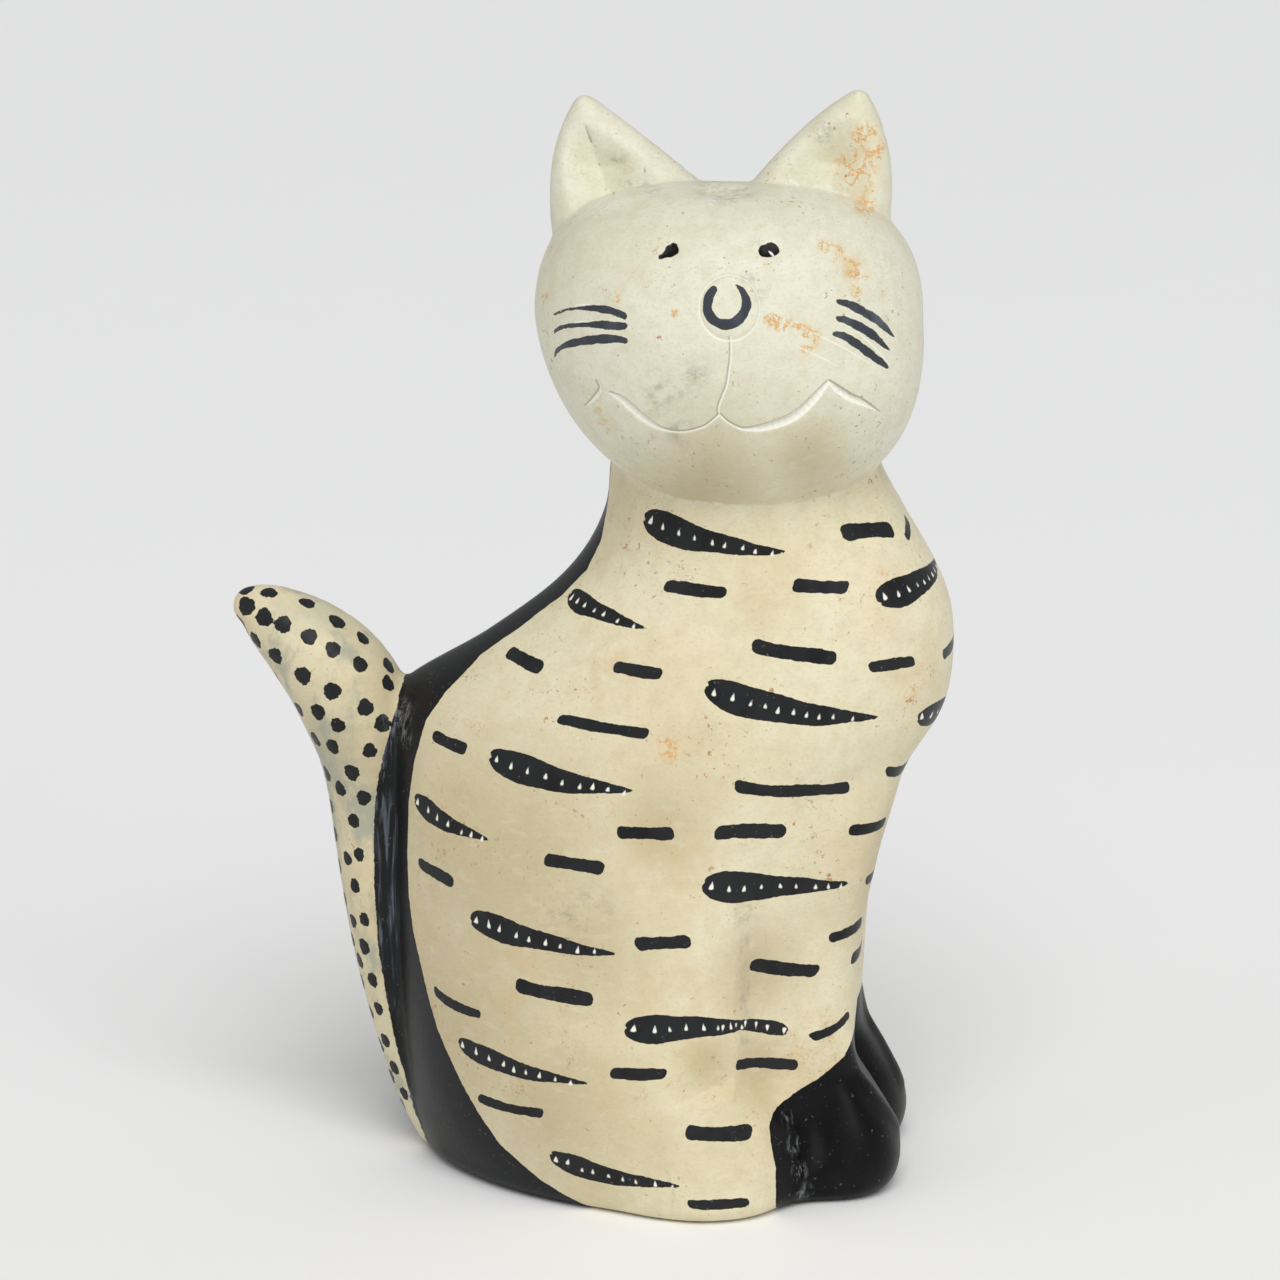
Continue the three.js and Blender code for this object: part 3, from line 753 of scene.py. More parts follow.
def first_surface(field, low, high, spacing):
    """Quads round a solid: each cell of a grid that its surface passes holds one point, and each
    edge of the grid with one end inside joins the points of the four cells round it."""
    axes = [np.arange(a - 2 * spacing, b + 3 * spacing, spacing) for a, b in zip(low, high)]
    grid = np.stack(np.meshgrid(*axes, indexing="ij"), axis=-1)
    inside = (field(grid.reshape(-1, 3)) < 0).reshape(grid.shape[:3])
    corners = sum(
        inside[i:i - 1 or None, j:j - 1 or None, k:k - 1 or None].astype(int)
        for i in (0, 1) for j in (0, 1) for k in (0, 1)
    )
    crossed = (corners > 0) & (corners < 8)
    number = np.full(crossed.shape, -1)
    number[crossed] = np.arange(crossed.sum())
    points = grid[:-1, :-1, :-1][crossed] + spacing / 2
    quads = []
    for axis in range(3):
        order = [axis, (axis + 1) % 3, (axis + 2) % 3]
        near, cells = inside.transpose(order), number.transpose(order)
        start, stop = near[:-1, 1:-1, 1:-1], near[1:, 1:-1, 1:-1]
        round_edge = (cells[:, :-1, :-1], cells[:, 1:, :-1], cells[:, 1:, 1:], cells[:, :-1, 1:])
        ring = np.stack(round_edge, axis=-1)
        quads += [ring[start & ~stop], ring[stop & ~start][:, ::-1]]
    return points, np.concatenate(quads)


def cut_quads(points, quads):
    """Two triangles for each quad, cut along its shorter diagonal."""
    a, b, c, d = quads.T
    short = np.linalg.norm(points[a] - points[c], axis=1) < np.linalg.norm(points[b] - points[d], axis=1)
    first = np.where(short[:, None], np.stack([a, b, c], 1), np.stack([a, b, d], 1))
    second = np.where(short[:, None], np.stack([a, c, d], 1), np.stack([b, c, d], 1))
    return np.concatenate([first, second])


def edges_of(faces, count):
    """Each edge once, as two point numbers, and for each face the numbers of its three edges."""
    ends = np.sort(faces[:, [[0, 1], [1, 2], [2, 0]]], axis=2)
    keys, number = np.unique(ends[:, :, 0].astype(np.int64) * count + ends[:, :, 1], return_inverse=True)
    return np.stack([keys // count, keys % count], axis=1), number.reshape(-1, 3)


def split_edges(points, faces, normals, longest):
    """Halves every edge that is longer than is wanted there, or over which the surface turns
    sharply, and cuts each triangle in 2, 3 or 4 to match."""
    edges, number = edges_of(faces, len(points))
    ends = points[edges]
    length = np.linalg.norm(ends[:, 0] - ends[:, 1], axis=1)
    turned = np.linalg.norm(normals[edges[:, 0]] - normals[edges[:, 1]], axis=1)
    cut = (length > longest[edges].mean(axis=1)) | ((turned > SHARP_TURN) & (length > SHARPEST_EDGE))
    middle = np.full(len(edges), -1)
    middle[cut] = len(points) + np.arange(cut.sum())
    mid = middle[number]
    times = (mid >= 0).sum(axis=1)
    result = [faces[times == 0]]
    one = times == 1
    turn = np.argmax(mid[one] >= 0, axis=1)[:, None]
    a, b, c = np.take_along_axis(faces[one], (np.arange(3) + turn) % 3, 1).T
    m = np.take_along_axis(mid[one], turn, 1)[:, 0]
    result += [np.stack([a, m, c], 1), np.stack([m, b, c], 1)]
    two = times == 2
    turn = (np.argmax(mid[two] < 0, axis=1)[:, None] + 1) % 3
    a, b, c = np.take_along_axis(faces[two], (np.arange(3) + turn) % 3, 1).T
    m, n, _ = np.take_along_axis(mid[two], (np.arange(3) + turn) % 3, 1).T
    result += [np.stack([m, b, n], 1), np.stack([a, m, n], 1), np.stack([a, n, c], 1)]
    three = times == 3
    a, b, c = faces[three].T
    m, n, o = mid[three].T
    result += [np.stack(f, 1) for f in ((a, m, o), (m, b, n), (o, n, c), (m, n, o))]
    return ends[cut].mean(axis=1), np.concatenate(result)


def relax(points, faces, share):
    """Moves each point part of the way to the middle of its neighbours."""
    edges, _ = edges_of(faces, len(points))
    both = np.concatenate([edges, edges[:, ::-1]])
    count = np.bincount(both[:, 0], minlength=len(points))
    sums = [np.bincount(both[:, 0], points[both[:, 1], k], len(points)) for k in range(3)]
    return points + share * (np.stack(sums, axis=1) / count[:, None] - points)


# Paint and carving.

class Mark(NamedTuple):
    """A painted mark on a curved surface: its middle, ways along and across, and its sizes."""
    kind: str
    middle: np.ndarray
    along: np.ndarray
    across: np.ndarray
    half_length: float
    half_width: float
    sag: float
    seed: int


def on_skin(turns, heights):
    """Points of the body's surface at each turn and height, found by halving the radius they are in."""
    turns, heights = np.radians(np.array(turns, float)), np.array(heights, float)
    middle = slice_middle(heights)
    ways = np.stack([np.cos(turns), -np.sin(turns)], axis=1)
    near, far = np.zeros(len(turns)), np.full(len(turns), SKIN_REACH)
    for _ in range(HALVINGS):
        radius = (near + far) / 2
        places = np.stack([middle + radius * ways[:, 0], radius * ways[:, 1], heights], axis=1)
        inside = outside_body(places) < 0
        near, far = np.where(inside, radius, near), np.where(inside, far, radius)
    return places


def body_marks():
    """Strokes from their two ends on the skin. Across is the surface's own way, square to along."""
    marks = []
    for kind, rows in (("leaf", LEAVES), ("dash", DASHES)):
        table = np.array(rows, float)
        start = on_skin(table[:, 0], table[:, 1])
        end = on_skin(table[:, 2], table[:, 3])
        middle = on_skin((table[:, 0] + table[:, 2]) / 2, (table[:, 1] + table[:, 3]) / 2)
        normal = slope_of(outside_body, middle)
        for i, (_, _, _, _, breadth, sag) in enumerate(rows):
            along = end[i] - start[i]
            length = np.linalg.norm(along)
            across = np.cross(normal[i], along / length)
            across /= np.linalg.norm(across)
            centre = (start[i] + end[i]) / 2
            marks.append(Mark(
                kind, centre, along / length, across, length / 2, breadth / 2, sag, len(marks)))
    return marks


def tail_marks(chance):
    """The dots of the tail. The far side has the near side's, turned over and moved down a little."""
    line, radius = tail_line(TAIL_STEPS)
    walked = np.concatenate([[0], np.cumsum(np.linalg.norm(np.diff(line, axis=0), axis=1))])
    far_side = [(place + FAR_DOT_SHIFT, -turn) for place, turn in TAIL_DOTS if turn > FAR_DOT_TURN]
    marks = []
    for place, turn in list(TAIL_DOTS) + far_side:
        i = np.clip(np.searchsorted(walked, place), TAIL_LOOK, TAIL_STEPS - 1 - TAIL_LOOK)
        ahead = line[i + TAIL_LOOK] - line[i - TAIL_LOOK]
        ahead /= np.linalg.norm(ahead)
        upper = np.array([-ahead[2], 0, ahead[0]])
        turn = np.radians(turn)
        way = upper * np.cos(turn) - np.array([0, TAIL_BREADTH * np.sin(turn), 0])
        past_tip = max(-place, 0) / radius[0]
        way = way * np.cos(past_tip) - ahead * np.sin(past_tip)
        lower = np.clip((place - DOT_CHANGE_START) / DOT_CHANGE_LENGTH, 0, 1)
        dot = between(DOT_RADIUS, lower) * chance.uniform(*DOT_VARIES)
        ahead = ahead * np.cos(past_tip) + upper * np.sin(past_tip)
        across = np.cross(way / np.linalg.norm(way), ahead)
        centre, long = line[i] + way * radius[i], dot * (1 + DOT_STRETCH * lower)
        marks.append(Mark("dot", centre, ahead, across, long, dot, 0.0, len(marks)))
    return marks


def leaf_half(t, seed):
    """Half width of a leaf stroke at each share of its length, with a slight waver of the brush."""
    outline = through_stations(LEAF_OUTLINE[:, 0], LEAF_OUTLINE[:, 1:], t)[0]
    return np.maximum(outline, 0) * (1 + 0.04 * np.sin(8 * t + seed) + 0.02 * np.sin(21 * t + 2 * seed))


def mark_distance(mark, a, c):
    """Signed distance in mm to the edge of a mark, from places along and across it. A dot is an oval
    with a ragged radius. A leaf lies within its half width of a sagging line, less a notch in its
    blunt end. A dash is a sagging box with round corners."""
    reach, half = mark.half_length, mark.half_width
    if mark.kind == "dot":
        turn = np.arctan2(c / half, a / reach)
        ragged = 0.07 * np.sin(3 * turn + mark.seed) + 0.05 * np.sin(7 * turn + 2.3 * mark.seed)
        ragged += 0.06 * np.sin(13 * turn + 1.1 * mark.seed)
        return (np.hypot(a / reach, c / half) - 1 - ragged) * half
    c = c + mark.sag * (1 - (a / reach) ** 2) - 0.08 * np.sin(a * 0.5 + mark.seed)
    if mark.kind == "leaf":
        t = (a / reach + 1) / 2
        stroke = smooth_max(np.abs(c) - half * leaf_half(t, mark.seed), np.abs(a) - reach, 0.5)
        notch = np.hypot((a + reach) / 1.6, c - 0.3 * half * np.sin(2.4 * mark.seed)) - 0.12 * half
        return smooth_max(stroke, -notch, 0.25)
    corner = 0.8 * half
    wide = half * (1 + 0.07 * np.sin(a * 0.55 + 2 * mark.seed) + 0.03 * np.sin(a * 1.9 + mark.seed))
    end = np.abs(a + 0.3 * c * np.sin(mark.seed)) - (reach - corner)
    side = np.abs(c) - (wide - corner)
    outside = np.hypot(np.maximum(end, 0), np.maximum(side, 0))
    inside = np.minimum(np.maximum(end, side), 0)
    return outside + inside - corner


def scratch_distance(mark, a, c, chance):
    """Signed distance to the row of small triangles that is scratched along a leaf stroke."""
    reach, half = mark.half_length, mark.half_width
    nearest = np.full(len(a), FAR)
    place = -reach + SCRATCH_START * half
    while place < reach * SCRATCH_STOP:
        t = (place / reach + 1) / 2
        tall = between(SCRATCH_TALL, min(3 * t, 1)) * chance.uniform(*TALL_VARIES)
        broad = between(SCRATCH_BROAD, min(4 * t, 1)) * chance.uniform(*BROAD_VARIES)
        middle = -mark.sag * (1 - (place / reach) ** 2) - 0.3 * half * max(t - 0.6, 0)
        up = c - middle - chance.normal(0, 0.12) + tall / 2
        side = np.abs(a - place - 0.2 * up * chance.normal(0, 0.5)) - broad / 2 * (1.05 - up / tall)
        nearest = np.minimum(nearest, smooth_max(side * 0.94, -up, 0.5))
        place += SCRATCH_STEP * chance.uniform(*STEP_VARIES)
    return nearest


def marked(points, marks):
    """Signed distances in mm to the edge of the nearest painted mark and of the nearest scratch."""
    ink = np.full(len(points), CLEAR)
    scratch = np.full(len(points), CLEAR)
    for mark in marks:
        chance = np.random.default_rng(STROKE_SEED + mark.seed)
        offset = points - mark.middle
        near = np.flatnonzero((offset ** 2).sum(axis=1) < (mark.half_length + 5) ** 2)
        a, c = offset[near] @ mark.along, offset[near] @ mark.across
        ink[near] = np.minimum(ink[near], mark_distance(mark, a, c))
        if mark.kind == "leaf":
            scratch[near] = np.minimum(scratch[near], scratch_distance(mark, a, c, chance))
    return ink, scratch


def line_distance(x, y, line):
    """For a line of right, up and size: distance, signed offset to the right of the way it runs, how
    far past its ends, the size there and how far along, from straight lines between places of it."""
    count = 4 * len(line)
    stations = np.arange(len(line), dtype=float)
    places = through_stations(stations, np.array(line, float), np.linspace(0, len(line) - 1, count)).T
    best, side, size, walked = np.full(len(x), FAR), np.zeros(len(x)), np.zeros(len(x)), np.zeros(len(x))
    start = 0.0
    for a, b in zip(places[:-1], places[1:]):
        length = np.linalg.norm(b[:2] - a[:2])
        way = (b[:2] - a[:2]) / length
        px, py = x - a[0], y - a[1]
        t = np.clip(px * way[0] + py * way[1], 0, length)
        gap = np.hypot(px - t * way[0], py - t * way[1])
        closer = gap < best
        best = np.where(closer, gap, best)
        side = np.where(closer, way[1] * px - way[0] * py, side)
        size = np.where(closer, a[2] + (b[2] - a[2]) * t / length, size)
        walked = np.where(closer, start + t, walked)
        start += length
    return best, side, size, walked


def on_face(points):
    """Places on the face as it is looked at from in front: right and up from the head's middle, in
    mm at its depth, and whether the point is on the side that is seen."""
    eye = CAT_MIDDLE + LOOK * DRAWN_FROM
    nearer = ((eye - HEAD_MIDDLE) @ LOOK) / ((eye - points) @ LOOK)
    right = (points - eye) @ LOOK_RIGHT * nearer - (HEAD_MIDDLE - eye) @ LOOK_RIGHT
    up = (points - eye) @ LOOK_UP * nearer - (HEAD_MIDDLE - eye) @ LOOK_UP
    return right, up, (points - HEAD_MIDDLE) @ LOOK > FACE_STARTS


def face_ink(x, y):
    """Signed distance to the nearest painted eye, whisker or nose ring, and 1 away from the eyes."""
    ink = np.full(len(x), CLEAR)
    for i, (right, up, wide, tall, slant) in enumerate(EYE_BLOTS):
        c, s = np.cos(np.radians(slant)), np.sin(np.radians(slant))
        u, v = (x - right) * c + (y - up) * s, (y - up) * c - (x - right) * s
        lumps = 0.05 * np.sin(4 * np.arctan2(v, u) + i)
        ink = smooth_min(ink, (np.hypot(u / wide, v / tall) - 1 - lumps) * min(wide, tall), 0.2)
    slate = (ink > EYE_REACH).astype(float)
    for line in (NOSE_RING,) + WHISKERS:
        gap, _, half, walked = line_distance(x, y, line)
        ink = np.minimum(ink, gap - half * (1 + 0.06 * np.sin(2.1 * walked + line[0][0])))
    return ink, slate


def face_cuts(x, y):
    """Depth of the carved lines of the face, signed distance to the nearest pale cut surface, and
    the share of painted shade and grime. Each cut drops steeply on one side of its line, whose wall
    is darkened with painted shade and grime, and slopes back up on the other, whose pale face is
    partly a painted highlight."""
    depth, shade_and_grime = np.zeros(len(x)), np.zeros(len(x))
    pale = np.full(len(x), CLEAR)
    for cut in CUTS:
        gap, side, breadth, walked = line_distance(x, y, cut.line)
        beyond = np.sqrt(np.maximum(gap ** 2 - side ** 2, 0))
        breadth = np.maximum(breadth, THINNEST_CUT)
        drop = np.minimum(1 + side / cut.wall, 1 - side / breadth)
        chiselled = 1 + CHISEL_HEIGHT * np.sin(CHISEL_RATE * walked) * (side > CHISEL_START)
        drop = np.clip(drop, 0, 1) * np.clip(1 - beyond / CUT_PAST_END, 0, 1) * chiselled
        depth = np.maximum(depth, cut.slope * breadth * drop)
        # The pale face on the slope is partly a painted highlight.
        face = np.maximum(PALE_START - side, side - PALE_SHARE * breadth + PALE_TRIM)
        pale = np.minimum(pale, np.maximum(face, beyond - PALE_PAST_END))
        # The steep wall is darkened with painted shade and grime.
        off_line = (side - SHADE_AND_GRIME_PLACE) / np.where(side < SHADE_AND_GRIME_PLACE, SHADE_AND_GRIME_UP, SHADE_AND_GRIME_DOWN)
        darkened = np.exp(-off_line ** 2 - (beyond / SHADE_AND_GRIME_PAST_END) ** 2)
        shade_and_grime = np.maximum(shade_and_grime, SHADE_AND_GRIME_SHARE * darkened)
    for line in SCRATCHES:
        gap, _, half, _ = line_distance(x, y, line)
        pale = np.minimum(pale, gap - half)
    gap, _, half, _ = line_distance(x, y, EAR_FOLD)
    # Painted shade darkens the fold in the left ear.
    shade_and_grime = np.maximum(shade_and_grime, np.exp(-(gap / np.maximum(half, 0.05)) ** 2))
    depth = np.maximum(depth, EAR_FOLD_DEPTH * np.clip(1 - gap / EAR_FOLD_REACH, 0, 1))
    # The fold isn't pale, but the mesh is as fine near it as near a pale line.
    pale = np.minimum(pale, np.maximum(gap, FINE_REACH))
    (right, up), radii = NOSE_BUTTON
    from_rim = (np.hypot((x - right) / radii[0], (y - up) / radii[1]) - 1) * min(radii)
    depth = np.maximum(depth, NOSE_GROOVE * np.clip(1 - np.abs(from_rim) / NOSE_LIP, 0, 1))
    # The pale rim is a painted highlight; the darkening in the groove is painted shade and grime.
    pale = np.minimum(pale, np.abs(from_rim - NOSE_RIM[0]) - NOSE_RIM[1])
    shade_and_grime = np.maximum(shade_and_grime, NOSE_SHADE_AND_GRIME[0] * np.exp(-(from_rim / NOSE_SHADE_AND_GRIME[1]) ** 2))
    for right, up, wide, tall, _ in EYE_BLOTS:
        from_middle = ((x - right) / wide) ** 2 + ((y - up) / tall) ** 2
        depth = np.maximum(depth, EYE_DEPTH * np.exp(-from_middle ** 2))
    return depth, pale, shade_and_grime


def painted_areas(points, normals, body):
    """Signed distances to the black band of the back and to the black feet. An area ends at a given x
    for each height, and the distance is divided by how fast x - edge grows along the skin."""
    x, _, z = points.T

    def to_edge(table, sign):
        """The distance to one edge, with sign 1 for an area behind it and -1 for one in front."""
        edge = np.interp(z, table[:, 0], table[:, 1])
        above, below = (np.interp(z + step, table[:, 0], table[:, 1]) for step in (1, -1))
        lean = (above - below) / 2
        way = np.stack([np.ones_like(x), np.zeros_like(x), -lean], axis=1)
        way = way - normals * (way * normals).sum(axis=1)[:, None]
        return sign * (x - edge) / np.maximum(np.linalg.norm(way, axis=1), 0.25)

    reach = np.interp(z, BAND_ON_TAIL[:, 0], BAND_ON_TAIL[:, 1])
    band = np.maximum(to_edge(BAND_EDGE, 1), np.where(x < MARKED_TAIL_FRONT, body - reach, -FAR))
    feet = to_edge(FEET_EDGE, -1)
    return np.where(z < BAND_TOP, band, CLEAR), np.where(z < FEET_TOP, feet, CLEAR)


def patches_on(points, x, y, front):
    """For each kind of patch the highest of exp(-(distance/radius)^2) over its places."""
    shares = {name: np.zeros(len(points)) for name in PATCHES}
    for name, rows in FACE_PATCHES.items():
        for right, up, radius in rows:
            share = np.exp(-((x - right) ** 2 + (y - up) ** 2) / radius ** 2)
            shares[name] = np.where(front, np.maximum(shares[name], share), shares[name])
    for name, rows in BODY_PATCHES.items():
        turns, heights, radii = np.array(rows, float).T
        for place, radius in zip(on_skin(turns, heights), radii):
            share = np.exp(-((points - place) ** 2).sum(axis=1) / radius ** 2)
            shares[name] = np.maximum(shares[name], share)
    return shares


def edge_wanted(start_and_growth, distance):
    """The longest edge that is wanted at a distance from a mark: start + growth * distance."""
    start, growth = start_and_growth
    return start + growth * distance


def finish_of(points, normals, marks):
    """Three results: what each point carries, the depth that it is cut to, and the longest edge that
    is wanted there. It carries the mm to paint and to pale cuts, whose pale faces are partly painted
    highlights, the mm past the crease onto the tail, the shares of head, tail, slate, painted shade
    with grime, and the patches, some of which are painted shade, and which paint is nearest: 1 for a
    stroke, a lesser share for the band, which is painted lighter than the feet as painted light,
    and 0 for the feet."""
    body, tail, head = (np.full(len(points), far) for far in (FAR, 2 * FAR, FAR))
    z = points[:, 2]
    low, high = z < BODY_TOP, z > MARKED_HEAD_FOOT
    behind = (points[:, 0] < MARKED_TAIL_FRONT) & (z < TAIL_TOP)
    body[low] = outside_body(points[low])
    tail[behind] = outside_tail(points[behind])
    head[high] = outside_head(points[high])
    past_neck = np.where(high, body - head, -FAR)
    ink, scratch = marked(points, marks)
    band, feet = painted_areas(points, normals, body)
    # The band takes a share of the strokes' lighter black as painted light.
    stroke = np.where(ink < np.minimum(band, feet), 1, np.where(band < feet, BAND_LIGHT_SHARE, 0))
    ink = np.minimum(ink, np.minimum(band, feet))
    x, y, front = on_face(points)
    front &= past_neck > 0
    depth, cuts, shade_and_grime = np.zeros(len(points)), np.full(len(points), CLEAR), np.zeros(len(points))
    ink[past_neck > 0] = CLEAR
    ink[front], slate = face_ink(x[front], y[front])
    depth[front], cuts[front], shade_and_grime[front] = face_cuts(x[front], y[front])
    slates = np.zeros(len(points))
    slates[front] = slate
    # Painted shade in the groove between the front legs.
    (beside, height), (broad, tall), start, share = LEGS_PAINTED_SHADE
    darkened = np.exp(-((np.abs(points[:, 1]) - beside) / broad) ** 2 - ((z - height) / tall) ** 4)
    shade_and_grime = np.where(points[:, 0] > start, np.maximum(shade_and_grime, share * darkened), shade_and_grime)
    depth += SCRATCH_DEPTH * np.clip(-scratch / SCRATCH_WALL, 0, 1)
    at_paint = edge_wanted(EDGE_AT_PAINT, np.abs(ink))
    at_scratch = edge_wanted(EDGE_AT_SCRATCH, np.abs(scratch))
    at_cut = edge_wanted(EDGE_AT_CUT, np.maximum(np.abs(cuts) - FINE_REACH, 0))
    wanted = np.minimum(np.minimum(at_paint, at_scratch), at_cut)
    crease = np.clip(body - tail, -CLEAR, CLEAR)
    return {
        "ink": ink, "pale": np.minimum(scratch, cuts), "crease": np.where(stroke == 1, -CLEAR, crease),
        "tail": np.clip((body - tail) / TAIL_CHANGE + 0.5, 0, 1),
        "head": np.clip(past_neck / HEAD_CHANGE + 0.3, 0, 1),
        "slate": slates, "stroke": stroke, "shade_and_grime": shade_and_grime, **patches_on(points, x, y, front),
    }, depth, wanted


def normals_of(points):
    """Outward unit ways of the stone's surface."""
    slope = slope_of(outside_cat, points)
    return slope / np.linalg.norm(slope, axis=1, keepdims=True)


def carve_cat(spacing, cut_share):
    """The cat's points, triangles and finish: an even surface, refined towards paint edges and cuts,
    settled onto the form, and lowered where it is cut."""
    low, high = (np.array(corner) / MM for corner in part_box("soapstone_cat"))
    points, quads = first_surface(outside_cat, low, high, spacing)
    points = settle(outside_cat, points)
    for _ in range(2):
        faces = cut_quads(points, quads)
        points = settle(outside_cat, relax(points, faces, FIRST_RELAX), 2)
    marks = body_marks() + tail_marks(np.random.default_rng(DOT_SEED))
    for _ in range(REFINEMENTS):
        normals = normals_of(points)
        wanted = np.minimum(finish_of(points, normals, marks)[2], spacing * LONGEST_EDGE)
        added, faces = split_edges(points, faces, normals, wanted)
        if not len(added):
            break
        points = np.concatenate([points, settle(outside_cat, added, 2)])
    points = settle(outside_cat, relax(points, faces, LAST_RELAX), 2)
    normals = normals_of(points)
    finish, depth, _ = finish_of(points, normals, marks)
    return points - normals * (depth * cut_share)[:, None], faces, finish


# Materials.

def linear(code):
    """Linear RGBA of an sRGB hex colour."""
    channels = [int(code[i:i + 2], 16) / 255 for i in (1, 3, 5)]
    return tuple(c / 12.92 if c <= 0.04045 else ((c + 0.055) / 1.055) ** 2.4 for c in channels) + (1.0,)


def per_metre(size_mm):
    """Scale of a pattern whose cells are this many millimetres across."""
    return 1 / (size_mm * MM)


def add_node(tree, kind, settings=None, inputs=None):
    """Adds a shader node, sets its own settings, and fills its inputs with values or links."""
    node = tree.nodes.new(kind)
    for name, value in (settings or {}).items():
        setattr(node, name, value)
    for name, value in (inputs or {}).items():
        if isinstance(value, bpy.types.NodeSocket):
            tree.links.new(value, node.inputs[name])
        else:
            node.inputs[name].default_value = value
    return node


class Pattern(NamedTuple):
    """A noise: cell size in mm, detail, the values that count as none and full, the share at full,
    how much it is squeezed along x, y and z, and whether it is a line where the noise is halfway."""
    size: float
    detail: float
    none: float
    full: float
    share: float = 1.0
    squeeze: tuple = (1, 1, 1)
    line: bool = False
    harsh: float = 0.5


PATTERNS = {
    # Clouds in the stone, a hand's breadth down to a finger's.
    "clouds": Pattern(36, 3, 0.44, 0.72, 0.5),
    "warmth": Pattern(28, 3, 0.5, 0.72, 0.45),
    "cool": Pattern(22, 3, 0.48, 0.66, 0.6),
    "marble": Pattern(8, 6, 0.47, 0.62, 0.75, (1, 1, 0.6), False, 0.64),
    "stain": Pattern(5, 5, 0.38, 0.68, 0.5),
    # Talc grains of about 3 mm, and smears that wet sandpaper leaves.
    "mottle": Pattern(3.4, 5, 0.38, 0.7, 0.18),
    "fibres": Pattern(0.8, 5, 0.45, 0.68, 0.2, (1, 1, 1.5), False, 0.7),
    "smears": Pattern(4.0, 4, 0.54, 0.74, 0.2, (1, 1, 2.6)),
    "hairlines": Pattern(7, 2, 0.494, 0.5, 0.16, (0.35, 0.35, 1.6), True),
    "hairline_gaps": Pattern(9, 2, 0.54, 0.62),
    # Grey veins, thin and broken.
    "vein": Pattern(6, 5, 0.486, 0.5, 0.5, (1, 1, 1), True, 0.6),
    "vein_gaps": Pattern(14, 3, 0.54, 0.66, 0.3),
    "grey_grain": Pattern(2.6, 6, 0.42, 0.66, 0.5, (1, 1, 1.3), False, 0.7),
    # Rust: ragged flecks within stains, and red-brown specks of under 1 mm in patches.
    "flecks": Pattern(2.6, 6, 0.46, 0.49, 0.85, (1, 1, 1), True, 0.66),
    "speck": Pattern(1.3, 4, 0.6, 0.66, 0.8, (1, 1, 1), False, 0.7),
    "speck_gaps": Pattern(13, 3, 0.53, 0.62),
    "curls": Pattern(1.4, 3, 0.465, 0.495, 1.0, (1, 1, 1), True),
    "pits": Pattern(0.9, 2, 0.71, 0.76, 0.5),
    # Dye: how its edge wavers, how evenly it was brushed, and how it has worn; its streaks by the
    # crease are partly a painted sheen.
    "waver": Pattern(1.1, 3, 0.3, 0.7),
    "brushing": Pattern(5, 4, 0.45, 0.7, 0.6, (1, 1, 0.5)),
    "streaks": Pattern(0.6, 4, 0.46, 0.66, 0.85, (1, 1, 0.05), False, 0.65),
    "streak_gaps": Pattern(5, 4, 0.4, 0.6, 1.0, (1, 1, 0.35)),
    "dust": Pattern(0.8, 3, 0.67, 0.72, 0.5),
    "scuffs": Pattern(0.8, 6, 0.47, 0.6, 0.85, (1, 1, 0.3), False, 0.75),
}
# What the mesh carries for each point, with the values that count as none and full.
CARRIED = {
    "pale": (0.08, -0.08), "crease": (-2.4, -0.3), "tail": (0, 1), "head": (0, 1), "slate": (0, 1),
    "stroke": (0, 1), "shade_and_grime": (0.1, 1.1), "rust": (0.1, 0.5), "stain_and_shade": (0.1, 0.9), "grey_and_shade": (0.1, 0.8),
    "chalk": (0.08, 0.55), "speckled": (0.1, 0.7), "shade_and_tone": (0, 1.55), "ink": (0.12, 0.02),
}
# Shares that are two or more others multiplied together.
PRODUCTS = {
    "head_clouds": ("head", "clouds"), "tail_cool": ("tail", "cool"),
    "hairline": ("hairlines", "hairline_gaps"), "veins": ("vein", "vein_gaps"),
    "marbled": ("tail", "marble"), "grey_veins": ("grey_and_shade", "vein", "grey_grain"),
    "greyed_and_shaded": ("grey_and_shade", "grey_grain"), "rust_flecks": ("rust", "flecks"), "stained_and_shaded": ("stain_and_shade", "stain"),
    "rust_wash": ("rust", "stain"), "specks": ("speck", "speck_gaps"),
    "dense_specks": ("speckled", "curls", "stain"),
    "chalky": ("chalk", "scuffs", "head"), "brushed": ("ink", "brushing"), "slate_ink": ("ink", "slate"),
    "stroke_black_and_band_light": ("ink", "stroke"), "slate_thin": ("ink", "slate", "brushing"),
    "sheen_and_scuff_streaks": ("ink", "crease", "streaks", "streak_gaps"), "worn": ("ink", "chalk", "scuffs"),
    "dusty": ("ink", "dust"), "satin": ("ink", "crease"),
}


